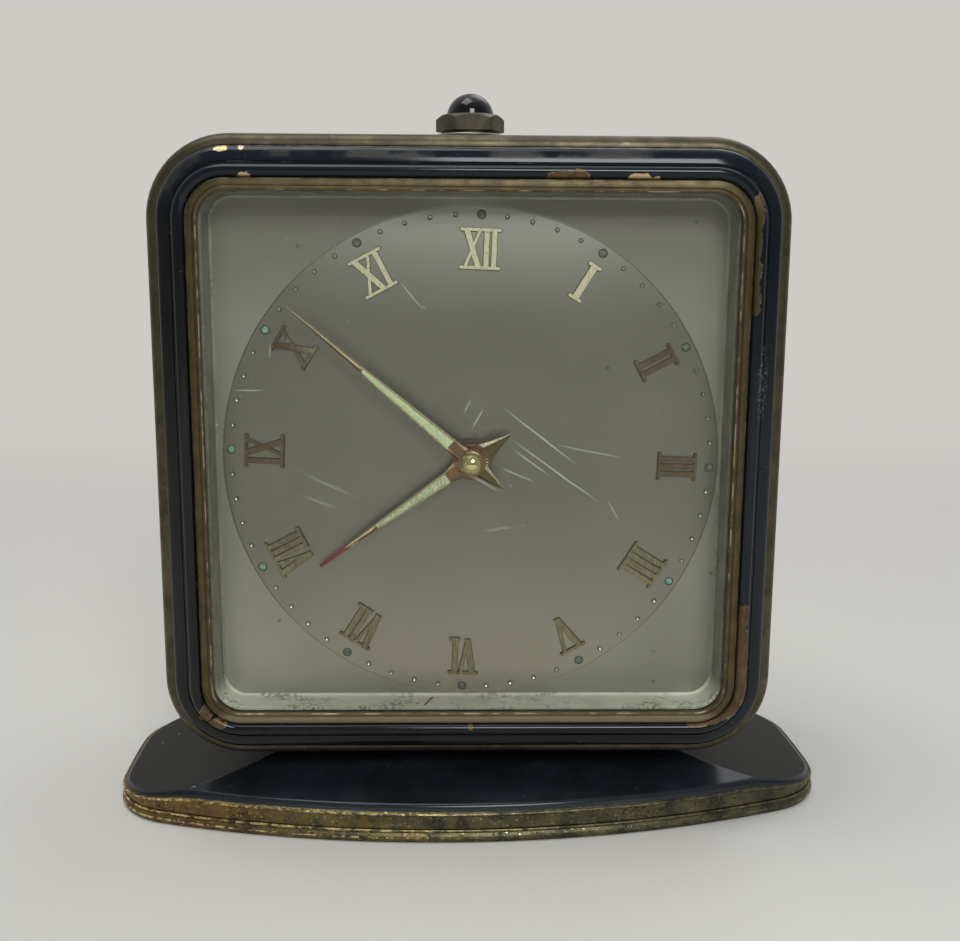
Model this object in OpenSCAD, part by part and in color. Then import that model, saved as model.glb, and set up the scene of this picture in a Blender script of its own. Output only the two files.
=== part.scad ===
// Square eight-day desk alarm clock on a swivel base.
// Millimetres. +Z is up and the dial faces -Y. The origin is on the swivel axis,
// at the underside of the base. Inside the case, sizes along the dial axis are
// given as "proud" values: the distance in front of the dial face, so pieces
// behind the dial have negative values.

/* [Case] */
// Width and height of the case over its outer rim
case_size = 89.4; // [84:0.2:100]
// Outer corner radius of the case
case_corner = 11.7; // [10:0.1:16]
// Height of the case rim above the table
case_lift = 11.3; // [10.7:0.2:14]
// How far the dial face stands in front of the swivel axis
dial_ahead = 16.5; // [14:0.5:20]
// Depth of the case behind the dial face
back_depth = 39; // [37:0.5:46]
// Sheet thickness of the case band
band_wall = 0.8; // [0.6:0.1:1]
// Step from the outer rim in to the case band
band_step = 0.3; // [0.2:0.1:0.8]

/* [Bezel] */
// Radius of the rounded outer rim
rim_r = 1.6; // [1.5:0.1:1.8]
// Width from the outer rim to the brass window frame
bezel_w = 6.05; // [5.9:0.05:6.5]
// Width of the brass window frame
frame_w = 1.78; // [1.6:0.02:2]
// How far the window frame stands in front of the dial
frame_proud = 5.95; // [5.6:0.05:6.4]
// Thickness of the crystal
crystal_t = 1; // [0.8:0.1:1.2]
// Rise of the crystal's middle over its edge
crystal_rise = 3.4; // [2.6:0.2:5]

/* [Dial] */
// Sideways offset of the dial centre in the case
dial_shift = 0.28; // [0:0.02:0.5]
// Drop of the dial centre in the case
dial_drop = 0.45; // [0:0.05:0.6]
// Clockwise turn of the dial in its seat
dial_turn = 2.1; // [0:0.1:3]
// Distance from the dial's wall in to the edge of the raised disc
disc_gap = 0.72; // [0.66:0.02:1.2]
// Distance from the disc's edge in to the circle of hour dots
dot_inset = 1.3; // [0.9:0.1:2]
// Radius of one hour dot
dot_r = 0.68; // [0.4:0.02:0.8]
// Radius of one minute mark
mark_r = 0.34; // [0.2:0.02:0.4]
// Distance from the circle of dots in to the numerals
numeral_inset = 1.85; // [1.2:0.05:2.4]
// Radial height of the numerals
numeral_h = 5.75; // [4.5:0.05:6.5]
// Thickness of the applied numerals
numeral_t = 0.45; // [0.3:0.05:0.6]

/* [Hands] */
// Distance from the circle of dots in to the minute hand's tip
minute_inset = 0.8; // [0.4:0.1:6]
// Length of the minute hand's tail
minute_tail = 5.9; // [4:0.1:7]
// Clockwise angle of the minute hand from the top
minute_at = 310.2; // [0:0.1:360]
// Length of the hour hand from its axis
hour_len = 22.2; // [18:0.1:26]
// Length of the hour hand's tail
hour_tail = 6.9; // [4:0.1:8]
// Clockwise angle of the hour hand from the top
hour_at = 235; // [0:0.1:360]
// Length of the alarm hand from its axis
alarm_len = 27; // [23:0.1:30]
// Clockwise angle of the alarm hand from the top
alarm_at = 234.5; // [0:0.1:360]
// Thickness of a hand
hand_t = 0.3; // [0.2:0.05:0.4]
// Radius of the ball cap on the hands
cap_r = 1.8; // [1.5:0.1:1.9]

/* [Base] */
// Length of the base
base_len = 110.8; // [100:0.2:120]
// Depth of the base
base_dep = 50; // [46:0.2:56]
// Radius of the bowed front and back edges
base_bow = 145; // [110:5:220]
// Radius of the bowed ends
base_end_bow = 250; // [120:10:400]
// Corner radius of the base outline
base_corner = 11.8; // [9:0.2:14]
// Height of the base at its crown
base_h = 10; // [9.6:0.1:10.2]
// Height of the base's side wall
base_side = 6; // [5.6:0.1:6.4]
// Height of the brass ring round the bottom
ring_h = 2; // [1.6:0.1:2.4]
// Half length of the crown between the two end facets
facet_from = 24.4; // [22:0.2:26]
// Downward slope of the end facets, in degrees
facet_slope = 12.2; // [11:0.2:12.4]
// Sheet thickness of the base cover
base_wall = 0.8; // [0.6:0.1:1]
// How far the base is turned under the case
base_turn = 2; // [-10:0.2:10]
// How far the base sits to the right of the swivel bolt
base_shift = 0.45; // [0:0.05:0.6]

/* [Alarm button] */
// Distance of the button behind the dial face
button_back = 9.5; // [8:0.5:20]
// Radius of the button's dome
button_r = 3.43; // [3:0.01:3.5]
// Width of the hexagonal bushing across its flats
hex_af = 8.65; // [8.4:0.05:9]
// Height of the bushing's hexagonal head
hex_h = 2.3; // [2.2:0.02:3]
// Travel of the button
button_travel = 1.2; // [0.8:0.1:1.3]

/* [Movement] */
// Thickness of the two movement plates
plate_t = 1.5; // [1.2:0.1:1.8]
// Distance from the dial face back to the front plate
plate_back = 6; // [5.8:0.1:6.6]
// Clear space between the two plates
plate_gap = 16.5; // [16.2:0.1:18]
// Half width of the rear movement plate
plate_half = 31.5; // [31:0.5:34]
// Radial clearance of an arbor in its hole
fit = 0.06; // [0.03:0.01:0.09]

/* [Rear controls] */
// Radius of the hand-setting knob
time_knob_r = 5; // [4:0.1:6]
// Radius of the alarm-setting knob
alarm_knob_r = 4; // [3:0.1:5]
// Width of a winding key across its wings
key_w = 15; // [12:0.5:18]
// Height of a winding key's wings
key_h = 9; // [7:0.5:11]

/* [Hidden] */
$fn = 48;

// Colours
lacquer = [0.07, 0.09, 0.13];
bronze = [0.40, 0.32, 0.22];
brass = [0.70, 0.58, 0.30];
old_brass = [0.47, 0.40, 0.24];
steel = [0.55, 0.56, 0.58];
silver = [0.60, 0.60, 0.54];
lume = [0.68, 0.78, 0.52];

// Heights and half sizes of the case
case_half = case_size / 2;
case_mid = case_lift + case_half;
band_half = case_half - band_step;
band_inner = band_half - band_wall;
rim_mid = case_half - rim_r;
frame_out = case_half - bezel_w;
frame_in = frame_out - frame_w;
// A rim, bead or sheet meets its neighbour with this small gap
seat = 0.05;

// Bezel levels in front of the dial
rim_level = 1.1;
moulding_low = rim_level + 1.55;
crystal_edge = frame_proud - 0.85;
surround_half = frame_in - 0.25;
surround_wall = 0.4;

// Dial plate
dial_t = 0.6;
dial_step = 0.3;
dial_half = surround_half + 4;
disc_r = surround_half - disc_gap;
dot_circle = disc_r - dot_inset;
numeral_top = dot_circle - numeral_inset;
minute_len = dot_circle - minute_inset;
mark_h = 0.1;
alarm_pipe_r = 2.2;
hour_pipe_r = 1.6;
arbor_r = 1;

// Hand levels in front of the dial
alarm_level = 1.3;
hour_level = 2.2;
minute_level = 3.2;
cap_level = minute_level + 1;
hub_r = 2.9;

// Movement levels
front_face = -plate_back;
front_inner = front_face - plate_t;
back_inner = front_inner - plate_gap;
back_face = back_inner - plate_t;
cover_t = 0.8;
cover_out = -back_depth;
cover_in = cover_out + cover_t;
wheel_t = 0.8;
staff_r = 0.6;

// Corner posts of the case
post_at = surround_half - 2.6;
post_r = 2.5;
stud_r = 1.45;
screw_r = 1;

// Going train: tooth counts and modules
fine = 0.3;
coarse = 0.35;
barrel_teeth = 72;
second_pinion = 12;
second_teeth = 60;
centre_pinion = 12;
centre_teeth = 56;
third_pinion = 7;
third_teeth = 60;
fourth_pinion = 8;
fourth_teeth = 56;
escape_pinion = 7;
escape_teeth = 15;
escape_r = 5;
// Motion work behind the dial
cannon_teeth = 12;
minute_wheel_teeth = 36;
minute_pinion_teeth = 10;
hour_wheel_teeth = 40;
// Alarm work
alarm_wheel_teeth = 48;
alarm_pinion_teeth = 24;
alarm_barrel_teeth = 60;
alarm_escape_pinion = 8;
alarm_escape_teeth = 13;
ratchet_teeth = 24;
ratchet_r = 5.5;

function spacing(n1, n2, m) = (n1 + n2) * m / 2;
function polar(r, a) = [r * cos(a), r * sin(a)];
function heading(a, b) = atan2(b[1] - a[1], b[0] - a[0]);
// Point that lies ra from a and rb from b, on the left of the line from a to b
function meet(a, ra, b, rb) =
    let (d = norm(b - a), u = (b - a) / d, s = (ra * ra - rb * rb + d * d) / (2 * d))
    a + u * s + [-u[1], u[0]] * sqrt(ra * ra - s * s);
// Phase that puts a gap of the second wheel opposite a tooth of the first
function mesh_phase(dir, phase, n1, n2) =
    dir + 180 - 360 / n2 * ((phase - dir) * n1 / 360 + 0.5);

// Arbor positions seen from the front, from the dial centre
centre_at = [0, 0];
going_at = [-19, -11];
alarm_barrel_at = [19, -11];
second_at = meet(going_at, spacing(barrel_teeth, second_pinion, coarse),
                 centre_at, spacing(second_teeth, centre_pinion, coarse));
third_at = centre_at + polar(spacing(centre_teeth, third_pinion, coarse), 110);
fourth_at = third_at + polar(spacing(third_teeth, fourth_pinion, fine), 50);
escape_at = fourth_at + polar(spacing(fourth_teeth, escape_pinion, fine), 0);
pallet_at = escape_at + polar(escape_r + 1.4, -25);
balance_at = pallet_at + polar(9.6, -50);
motion_gap = spacing(cannon_teeth, minute_wheel_teeth, coarse);
motion_at = centre_at + polar(motion_gap, 200);
alarm_set_at = centre_at - [0, spacing(alarm_wheel_teeth, alarm_pinion_teeth, coarse)];
alarm_escape_at = alarm_barrel_at
    + polar(spacing(alarm_barrel_teeth, alarm_escape_pinion, coarse), 215);
hammer_at = alarm_escape_at - [0, 6.6];
hammer_reach = 15.5;
strike_at = hammer_at - [hammer_reach, 5];
balance_r = 7.6;
regulator_reach = 9;
regulator_sweep = 25;

// Wheel levels, behind the dial, at each wheel's front
centre_level = -8.1;
second_level = -10.2;
third_level = -12.6;
great_level = -14.7;
fourth_level = -15.6;
escape_level = -19.1;
balance_level = -21.1;
hairspring_level = -22.8;
minute_wheel_level = -4.8;
hour_wheel_level = -3.2;
alarm_wheel_level = -1.6;
alarm_escape_level = second_level - 1;
ratchet_level = back_face - 0.5;
drum_h = 7.5;

// Alarm button heights
button_y = button_back - dial_ahead;
case_top = case_mid + band_half;
hex_low = case_top + 1.7;
hex_top = hex_low + hex_h;
bush_r = 2.9;
stem_r = 1.4;
well_r = 2.1;
cup_floor = hex_low + 0.15;
button_low = cup_floor + button_travel + 0.05;
dome_mid = hex_top - 0.32;
bush_low = case_top - 2.8;

// Base inside
bolt_r = 2;
bolt_head_h = 2.2;
washer_r = 6;
// How far the ring reaches in under the cover
ring_reach = 2;
// Sheet that closes the base, and the weight on it
floor_t = 0.8;
floor_screws = 36;
weight_h = 4;
weight_inset = 5.2;
weight_gap = 0.4;
half_len = base_len / 2;
half_dep = base_dep / 2;
cover_inset = 0.4;
cover_top = base_h - cover_inset;

// Frame of the case: x right, y up, z towards the viewer, zero at the dial face
module face() {
    translate([0, -dial_ahead, case_mid]) rotate([90, 0, 0]) children();
}
// The same frame, centred on the hands
module dial_face() {
    face() translate([dial_shift, -dial_drop, 0]) children();
}
module at(p, level) {
    translate([p[0], p[1], level]) children();
}
module rod(p, low, high, r) {
    at(p, low) cylinder(h = high - low, r = r);
}
module tube(p, low, high, r, bore) {
    at(p, low) difference() {
        cylinder(h = high - low, r = r);
        translate([0, 0, -1]) cylinder(h = high - low + 2, r = bore);
    }
}
module rounded_square(half, r) {
    square([2 * half, 2 * (half - r)], center = true);
    square([2 * (half - r), 2 * half], center = true);
    for (x = [-1, 1], y = [-1, 1])
        translate([x * (half - r), y * (half - r)]) circle(r = r);
}
module slab(half, r, low, high) {
    translate([0, 0, low]) linear_extrude(high - low) rounded_square(half, r);
}
// A moulding that runs round the square case. Its section is drawn with x as the
// half size of the case at that point and y as the distance in front of the dial.
module moulding(section) {
    mid = case_half - case_corner;
    local = [for (p = section) [p[0] - mid, p[1]]];
    for (k = [0:3]) rotate([0, 0, 90 * k]) {
        translate([mid, mid, 0]) rotate_extrude(angle = 90, $fn = 96) polygon(local);
        translate([mid, mid, 0]) rotate([90, 0, 0]) linear_extrude(2 * mid) polygon(local);
    }
}
// Straight-sided teeth, thin enough to leave backlash
module toothed(n, m, phase, thick) {
    pitch = 360 / n;
    root = (n / 2 - 1.1) * m;
    tip = (n / 2 + 0.6) * m;
    linear_extrude(thick) polygon([for (k = [0:n - 1], s = [[-0.24, root], [-0.07, tip],
        [0.07, tip], [0.24, root]]) polar(s[1], phase + pitch * (k + s[0]))]);
}
// A wheel with crossings, set on its arbor
module wheel(n, m, phase, hub, bore) {
    inner = (n / 2 - 1.1) * m - 1.2;
    difference() {
        toothed(n, m, phase, wheel_t);
        translate([0, 0, -1]) difference() {
            cylinder(h = wheel_t + 2, r = inner);
            cylinder(h = wheel_t + 2, r = hub);
            for (k = [0:1]) rotate([0, 0, 90 * k + 45])
                translate([-inner - 1, -0.55, 0]) cube([2 * inner + 2, 1.1, wheel_t + 2]);
        }
        translate([0, 0, -1]) cylinder(h = wheel_t + 2, r = bore);
    }
}

// Outline of the base: bowed front and back, bowed ends and round corners.
// grow moves the whole outline out, or in where it is negative.
function base_outline(grow) =
    let (a = half_len + grow, b = half_dep + grow,
         r1 = base_bow + grow, r2 = base_end_bow + grow, r = base_corner + grow,
         c1 = [0, b - r1], c2 = [a - r2, 0],
         f = meet(c2, r2 - r, c1, r1 - r),
         a2 = heading(c2, f), a1 = heading(c1, f),
         quarter = concat([for (k = [0:5]) c2 + polar(r2, a2 * k / 6)],
                          [for (k = [0:8]) f + polar(r, a2 + (a1 - a2) * k / 8)],
                          [for (k = [1:10]) c1 + polar(r1, a1 + (90 - a1) * k / 10)]),
         n = len(quarter))
    concat(quarter,
           [for (k = [n - 2:-1:0]) [-quarter[k][0], quarter[k][1]]],
           [for (k = [1:n - 1]) [-quarter[k][0], -quarter[k][1]]],
           [for (k = [n - 2:-1:1]) [quarter[k][0], -quarter[k][1]]]);
// Half of the crown: it falls from the middle of the base to the bowed front edge
module crown(grow) {
    b = half_dep + grow;
    r = base_bow + grow;
    rise = base_h - base_side;
    arc = (b * b + rise * rise) / (2 * rise);
    translate([0, r - b, 0]) rotate([0, 0, -140]) rotate_extrude(angle = 100, $fn = 360)
        polygon(concat([[10, 0], [10, base_h + grow]],
            [for (k = [0:8]) let (v = b * k / 8)
                [r - b + v, base_h + grow - arc + sqrt(arc * arc - v * v)]],
            [[r, 0]]));
}
// The crowned body of the base with its two sloping end facets
module base_body(grow, low) {
    intersection() {
        translate([0, 0, low]) linear_extrude(base_h + grow - low) polygon(base_outline(grow));
        crown(grow);
        mirror([0, 1, 0]) crown(grow);
        difference() {
            translate([-base_len, -base_dep, -1]) cube([2 * base_len, 2 * base_dep, base_h * 2]);
            for (m = [0, 1]) mirror([m, 0, 0])
                translate([facet_from, 0, base_h + grow]) rotate([0, facet_slope, 0])
                    translate([-base_len, -base_dep, 0]) cube([2 * base_len, 2 * base_dep, base_h]);
        }
    }
}
module base_frame() {
    translate([base_shift, 0, 0]) rotate([0, 0, base_turn]) children();
}

module base_cover() {
    color(lacquer) difference() {
        base_frame() difference() {
            base_body(-cover_inset, ring_h + seat);
            base_body(-cover_inset - base_wall, ring_h - 1);
        }
        translate([0, 0, base_h - 5]) cylinder(h = 10, r = bolt_r + fit);
    }
}
module base_ring() {
    color(brass) base_frame() difference() {
        union() {
            linear_extrude(ring_h * 0.3) polygon(base_outline(-0.25));
            translate([0, 0, ring_h * 0.3]) linear_extrude(ring_h * 0.4) polygon(base_outline(0));
            translate([0, 0, ring_h * 0.7]) linear_extrude(ring_h * 0.3) polygon(base_outline(-0.25));
        }
        translate([0, 0, -1]) linear_extrude(ring_h + 2) polygon(base_outline(-ring_reach));
    }
}
module base_plate() {
    color(old_brass) base_frame() difference() {
        linear_extrude(floor_t) polygon(base_outline(-ring_reach - seat));
        for (x = [-1, 1]) translate([x * floor_screws, 0, -1]) cylinder(h = floor_t + 2, r = 1.2);
    }
}
module base_weight() {
    color(steel) base_frame() intersection() {
        translate([0, 0, floor_t + seat]) linear_extrude(weight_h) polygon(base_outline(-weight_inset));
        base_body(-cover_inset - base_wall - weight_gap, 0);
    }
}
module swivel_bolt() {
    head_top = cover_top - base_wall - 0.2;
    color(steel) {
        translate([0, 0, head_top - bolt_head_h]) cylinder(h = bolt_head_h, r = 4.5, $fn = 6);
        translate([0, 0, head_top - 0.1]) cylinder(h = case_mid - band_inner + 5.5 - head_top, r = bolt_r);
    }
}
module swivel_nut() {
    color(steel) translate([0, 0, case_mid - band_inner + 0.3]) difference() {
        cylinder(h = 3, r = 4.3, $fn = 6);
        translate([0, 0, -1]) cylinder(h = 5, r = bolt_r);
    }
}
module swivel_collar() {
    color(bronze) translate([0, 0, cover_top]) difference() {
        cylinder(h = case_mid - band_half - cover_top - seat, r = washer_r);
        translate([0, 0, -1]) cylinder(h = 5, r = bolt_r + fit);
    }
}

module case_band() {
    color(lacquer) difference() {
        face() difference() {
            slab(band_half, case_corner - band_step, cover_out, rim_level - 0.15 - seat);
            slab(band_inner, case_corner - band_step - band_wall, cover_out - 1, rim_level + 1);
        }
        translate([0, 0, case_lift - 2]) cylinder(h = 8, r = bolt_r + fit);
        translate([0, button_y, case_top - 3]) cylinder(h = 8, r = bush_r + fit);
    }
}
module case_rim() {
    color(bronze) face() moulding(concat([[rim_mid - 0.8, rim_level - 0.15],
        [case_half - 0.02, rim_level - 0.15]],
        [for (a = [0:15:90]) [rim_mid + rim_r * cos(a), rim_level + rim_r * sin(a)]],
        [[rim_mid - 0.05, moulding_low], [rim_mid - 0.8, moulding_low]]));
}
module bezel_moulding() {
    w = rim_mid - frame_out;
    p = frame_proud;
    color(lacquer) face() moulding([
        [rim_mid - 0.1, moulding_low + seat], [rim_mid - 0.1, p - 2.95],
        [rim_mid - 0.12 * w, p - 2.0], [rim_mid - 0.28 * w, p - 1.1],
        [rim_mid - 0.45 * w, p - 0.5], [rim_mid - 0.57 * w, p - 0.25],
        [rim_mid - 0.62 * w, p - 0.75], [rim_mid - 0.68 * w, p - 0.75],
        [rim_mid - 0.71 * w, p], [rim_mid - 0.78 * w, p + 0.45],
        [rim_mid - 0.87 * w, p + 0.5], [rim_mid - 0.95 * w, p + 0.2],
        [frame_out + seat, p - 0.45], [frame_out + seat, moulding_low + seat],
        [frame_out + 0.65, moulding_low + seat], [frame_out + 0.65, p - 1.35],
        [rim_mid - 0.55 * w, p - 1.35], [rim_mid - 0.34 * w, p - 1.9],
        [rim_mid - 0.2 * w, moulding_low + seat]]);
}
module window_frame() {
    p = frame_proud;
    color(old_brass) face() moulding([
        [frame_out, moulding_low + seat], [frame_out, p - 0.5], [frame_out - 0.25 * frame_w, p - 0.32],
        [frame_in + 0.2 * frame_w, p], [frame_in, p - 0.1], [frame_in, crystal_edge + seat],
        [frame_in + 1.1, crystal_edge + seat], [frame_in + 1.1, moulding_low + seat]]);
}
// Pillow-shaped glass: flat at its edges, raised in the middle
module crystal() {
    half = frame_in + 1;
    inner = frame_in - 0.3;
    cells = 16;
    n = cells + 2;
    function line(i) = i == 0 ? -half : i == n ? half : inner * (2 * (i - 1) / cells - 1);
    function bow(x) = max(0, 1 - pow(x / inner, 2));
    top = [for (j = [0:n], i = [0:n]) let (x = line(i), y = line(j))
        [x, y, crystal_edge + crystal_rise * bow(x) * bow(y)]];
    low = [for (p = top) p - [0, 0, crystal_t]];
    m = n + 1;
    k = m * m;
    faces = concat(
        [for (j = [0:n - 1], i = [0:n - 1]) let (a = j * m + i) each
            [[a, a + m, a + 1], [a + 1, a + m, a + m + 1]]],
        [for (j = [0:n - 1], i = [0:n - 1]) let (a = k + j * m + i) each
            [[a, a + 1, a + m], [a + 1, a + m + 1, a + m]]],
        [for (i = [0:n - 1]) each [[i, i + 1, k + i], [i + 1, k + i + 1, k + i]]],
        [for (i = [0:n - 1]) let (a = n * m + i) each
            [[a, k + a, a + 1], [a + 1, k + a, k + a + 1]]],
        [for (j = [0:n - 1]) let (a = j * m) each [[a, k + a, a + m], [a + m, k + a, k + a + m]]],
        [for (j = [0:n - 1]) let (a = j * m + n) each
            [[a, a + m, k + a], [a + m, k + a + m, k + a]]]);
    color([0.8, 0.85, 0.85, 0.3]) face() intersection() {
        polyhedron(concat(top, low), faces);
        slab(half, case_corner - bezel_w - 0.8, 0, crystal_edge + crystal_rise + 1);
    }
}
module dial_surround() {
    r = case_corner - bezel_w - frame_w;
    color(silver) face() difference() {
        union() {
            slab(surround_half + surround_wall, r + surround_wall, seat - dial_step,
                crystal_edge - crystal_t - seat);
            slab(dial_half, r + 2, seat - dial_step, seat - dial_step + 0.4);
        }
        slab(surround_half, r, -1, frame_proud);
    }
}
module dial_plate() {
    color(silver) difference() {
        union() {
            face() slab(dial_half, 4, -dial_t, -dial_step);
            dial_face() {
                rod(centre_at, -dial_step - 0.01, 0, disc_r);
                for (k = [1:59]) if (k % 5 != 0) rotate([0, 0, -6 * k - dial_turn])
                    rod([0, dot_circle], -0.01, mark_h, mark_r);
            }
        }
        dial_face() rod(centre_at, -2, 2, alarm_pipe_r + 0.4);
    }
}
// One upright stroke, or a leaning one, of a numeral
module stroke(x0, x1, w, h) {
    polygon([[x0 - w / 2, 0], [x0 + w / 2, 0], [x1 + w / 2, h], [x1 - w / 2, h]]);
}
// Strokes are I, V and X; each takes its own room on the line
function room(c) = c == "I" ? 1.1 : c == "V" ? 2.6 : 2.9;
function start(glyphs, k) = k == 0 ? 0 : start(glyphs, k - 1) + room(glyphs[k - 1]);
module numeral(glyphs, width) {
    h = numeral_h;
    total = start(glyphs, len(glyphs));
    bar = 0.5;
    fitted = (width - 0.3) / total;
    linear_extrude(numeral_t) translate([-width / 2, 0]) {
        square([width, bar]);
        translate([0, h - bar]) square([width, bar]);
        translate([0.15, 0]) for (k = [0:len(glyphs) - 1]) {
            x = fitted * start(glyphs, k);
            w = fitted * room(glyphs[k]);
            if (glyphs[k] == "I") stroke(x + w / 2, x + w / 2, 0.66, h);
            if (glyphs[k] == "V") {
                stroke(x + w / 2, x + 0.42, 0.8, h);
                stroke(x + w / 2, x + w - 0.25, 0.45, h);
            }
            if (glyphs[k] == "X") {
                stroke(x + w - 0.45, x + 0.45, 0.8, h);
                stroke(x + 0.3, x + w - 0.3, 0.45, h);
            }
        }
    }
}
numerals = [["XII", 5.4], ["I", 1.9], ["II", 2.8], ["III", 3.7], ["IIII", 4.6], ["V", 3.5],
    ["VI", 4.0], ["VII", 4.7], ["VIII", 5.6], ["IX", 4.4], ["X", 3.6], ["XI", 4.6]];
module hour_numerals() {
    color(brass) dial_face() for (k = [0:11]) rotate([0, 0, -30 * k - dial_turn])
        translate([0, numeral_top - numeral_h, 0]) numeral(numerals[k][0], numerals[k][1]);
}
module hour_dots() {
    color(lume) dial_face() for (k = [0:11]) rotate([0, 0, -30 * k - dial_turn])
        rod([0, dot_circle], 0, 0.3, dot_r);
}

// A long tapering hand with a pointed tail and a window for the lume
module hand(len, tail, wide, hub, bore, from, to) {
    grow = wide * 0.42;
    linear_extrude(hand_t) difference() {
        union() {
            polygon([[-wide / 2, 4.6], [-0.2, len], [0.2, len], [wide / 2, 4.6], [hub * 0.8, 1],
                     [hub * 0.8, -1], [0, -tail], [-hub * 0.8, -1], [-hub * 0.8, 1]]);
            circle(r = hub);
        }
        circle(r = bore);
        polygon([[-grow, from], [grow, from], [0.28, to], [-0.28, to]]);
    }
}
module lume_strip(wide, from, to) {
    grow = wide * 0.42 - 0.03;
    translate([0, 0, 0.05]) linear_extrude(hand_t - 0.1)
        polygon([[-grow, from + 0.03], [grow, from + 0.03], [0.25, to - 0.03], [-0.25, to - 0.03]]);
}
minute_w = 1.9;
hour_w = 1.8;
minute_slot = [3.9, 20.1];
hour_slot = [4.1, 16.7];
module minute_hand() {
    color(brass) dial_face() at(centre_at, minute_level) rotate([0, 0, -minute_at])
        hand(minute_len, minute_tail, minute_w, hub_r, arbor_r, minute_slot[0], minute_slot[1]);
}
module minute_lume() {
    color(lume) dial_face() at(centre_at, minute_level) rotate([0, 0, -minute_at])
        lume_strip(minute_w, minute_slot[0], minute_slot[1]);
}
module hour_hand() {
    color(bronze) dial_face() at(centre_at, hour_level) rotate([0, 0, -hour_at])
        hand(hour_len, hour_tail, hour_w, hub_r + 0.2, hour_pipe_r, hour_slot[0], hour_slot[1]);
}
module hour_lume() {
    color(lume) dial_face() at(centre_at, hour_level) rotate([0, 0, -hour_at])
        lume_strip(hour_w, hour_slot[0], hour_slot[1]);
}
module alarm_hand() {
    color([0.55, 0.2, 0.18]) dial_face() at(centre_at, alarm_level) rotate([0, 0, -alarm_at])
        linear_extrude(hand_t) difference() {
            union() {
                circle(r = hub_r);
                polygon([[-0.35, 0], [-0.28, alarm_len], [0.28, alarm_len], [0.35, 0]]);
            }
            circle(r = alarm_pipe_r);
        }
}
module hand_cap() {
    color(brass) dial_face() difference() {
        at(centre_at, cap_level) sphere(r = cap_r);
        rod(centre_at, minute_level - cap_r, minute_level + hand_t, 2 * cap_r);
        rod(centre_at, 0, cap_level, arbor_r);
    }
}

// Centre arbor: carries the minute hand in front and the setting knob behind
knob_low = cover_out - 6;
module centre_arbor() {
    color(steel) dial_face() {
        rod(centre_at, knob_low + 0.6, cap_level - seat, arbor_r);
        at(centre_at, minute_wheel_level - 1) toothed(cannon_teeth, coarse, 0, 1.4);
    }
}
module knob(p, r, bore) {
    at(p, knob_low) difference() {
        union() {
            cylinder(h = 3.8, r = r);
            cylinder(h = 5.2, r = r * 0.55);
        }
        for (k = [0:23]) rotate([0, 0, 15 * k]) translate([r + 0.15, 0, -1]) cylinder(h = 7, r = 0.45);
        translate([0, 0, 0.6]) cylinder(h = 7, r = bore);
    }
}
module time_knob() {
    color(brass) dial_face() knob(centre_at, time_knob_r, arbor_r);
}
minute_wheel_phase = mesh_phase(200, 0, cannon_teeth, minute_wheel_teeth);
motion_module = 2 * motion_gap / (minute_pinion_teeth + hour_wheel_teeth);
module minute_wheel() {
    color(brass) dial_face() {
        at(motion_at, minute_wheel_level - wheel_t)
            wheel(minute_wheel_teeth, coarse, minute_wheel_phase, 2, staff_r + fit);
        difference() {
            at(motion_at, minute_wheel_level) toothed(minute_pinion_teeth, motion_module, 0, 2);
            rod(motion_at, minute_wheel_level - 1, 0, staff_r + fit);
        }
    }
}
module hour_wheel() {
    phase = mesh_phase(20, 0, minute_pinion_teeth, hour_wheel_teeth);
    color(brass) dial_face() {
        at(centre_at, hour_wheel_level - wheel_t)
            wheel(hour_wheel_teeth, motion_module, phase, 2.4, arbor_r + fit);
        tube(centre_at, hour_wheel_level - wheel_t, hour_level + hand_t, hour_pipe_r, arbor_r + fit);
    }
}
module alarm_wheel() {
    color(brass) dial_face() {
        at(centre_at, alarm_wheel_level - wheel_t)
            wheel(alarm_wheel_teeth, coarse, 0, 3, hour_pipe_r + fit);
        tube(centre_at, alarm_wheel_level - wheel_t, alarm_level + hand_t, alarm_pipe_r, hour_pipe_r + fit);
    }
}
module alarm_set_arbor() {
    phase = mesh_phase(-90, 0, alarm_wheel_teeth, alarm_pinion_teeth);
    color(steel) dial_face() {
        rod(alarm_set_at, knob_low + 0.6, alarm_wheel_level - wheel_t, 1.2);
        at(alarm_set_at, alarm_wheel_level - wheel_t - 0.2) toothed(alarm_pinion_teeth, coarse, phase, 1.2);
    }
}
module alarm_set_knob() {
    color(brass) dial_face() knob(alarm_set_at, alarm_knob_r, 1.2);
}

// Movement plates with their pivot holes
pivots = [second_at, third_at, fourth_at, escape_at, pallet_at, balance_at, alarm_escape_at, hammer_at];
pillar_at = 27.5;
click_stud_r = 0.6;
module plate_holes(low) {
    for (p = pivots) rod(p, low - 1, low + plate_t + 1, staff_r + fit);
    for (p = [going_at, alarm_barrel_at]) rod(p, low - 1, low + plate_t + 1, 1.5 + fit);
    rod(alarm_set_at, low - 1, low + plate_t + 1, 1.2 + fit);
    rod(centre_at, low - 1, low + plate_t + 1, arbor_r + fit);
}
module front_plate() {
    color(brass) difference() {
        face() slab(post_at + 3.2, 4, front_inner, front_face);
        dial_face() plate_holes(front_inner);
        dial_face() rod(motion_at, front_inner - 1, front_face + 1, staff_r);
        for (x = [-1, 1], y = [-1, 1]) {
            face() rod([x * post_at, y * post_at], front_inner - 1, front_face + 1, stud_r + fit);
            dial_face() rod([x * pillar_at, y * pillar_at], front_inner - 1, front_face + 1, 1.2);
        }
    }
}
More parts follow.
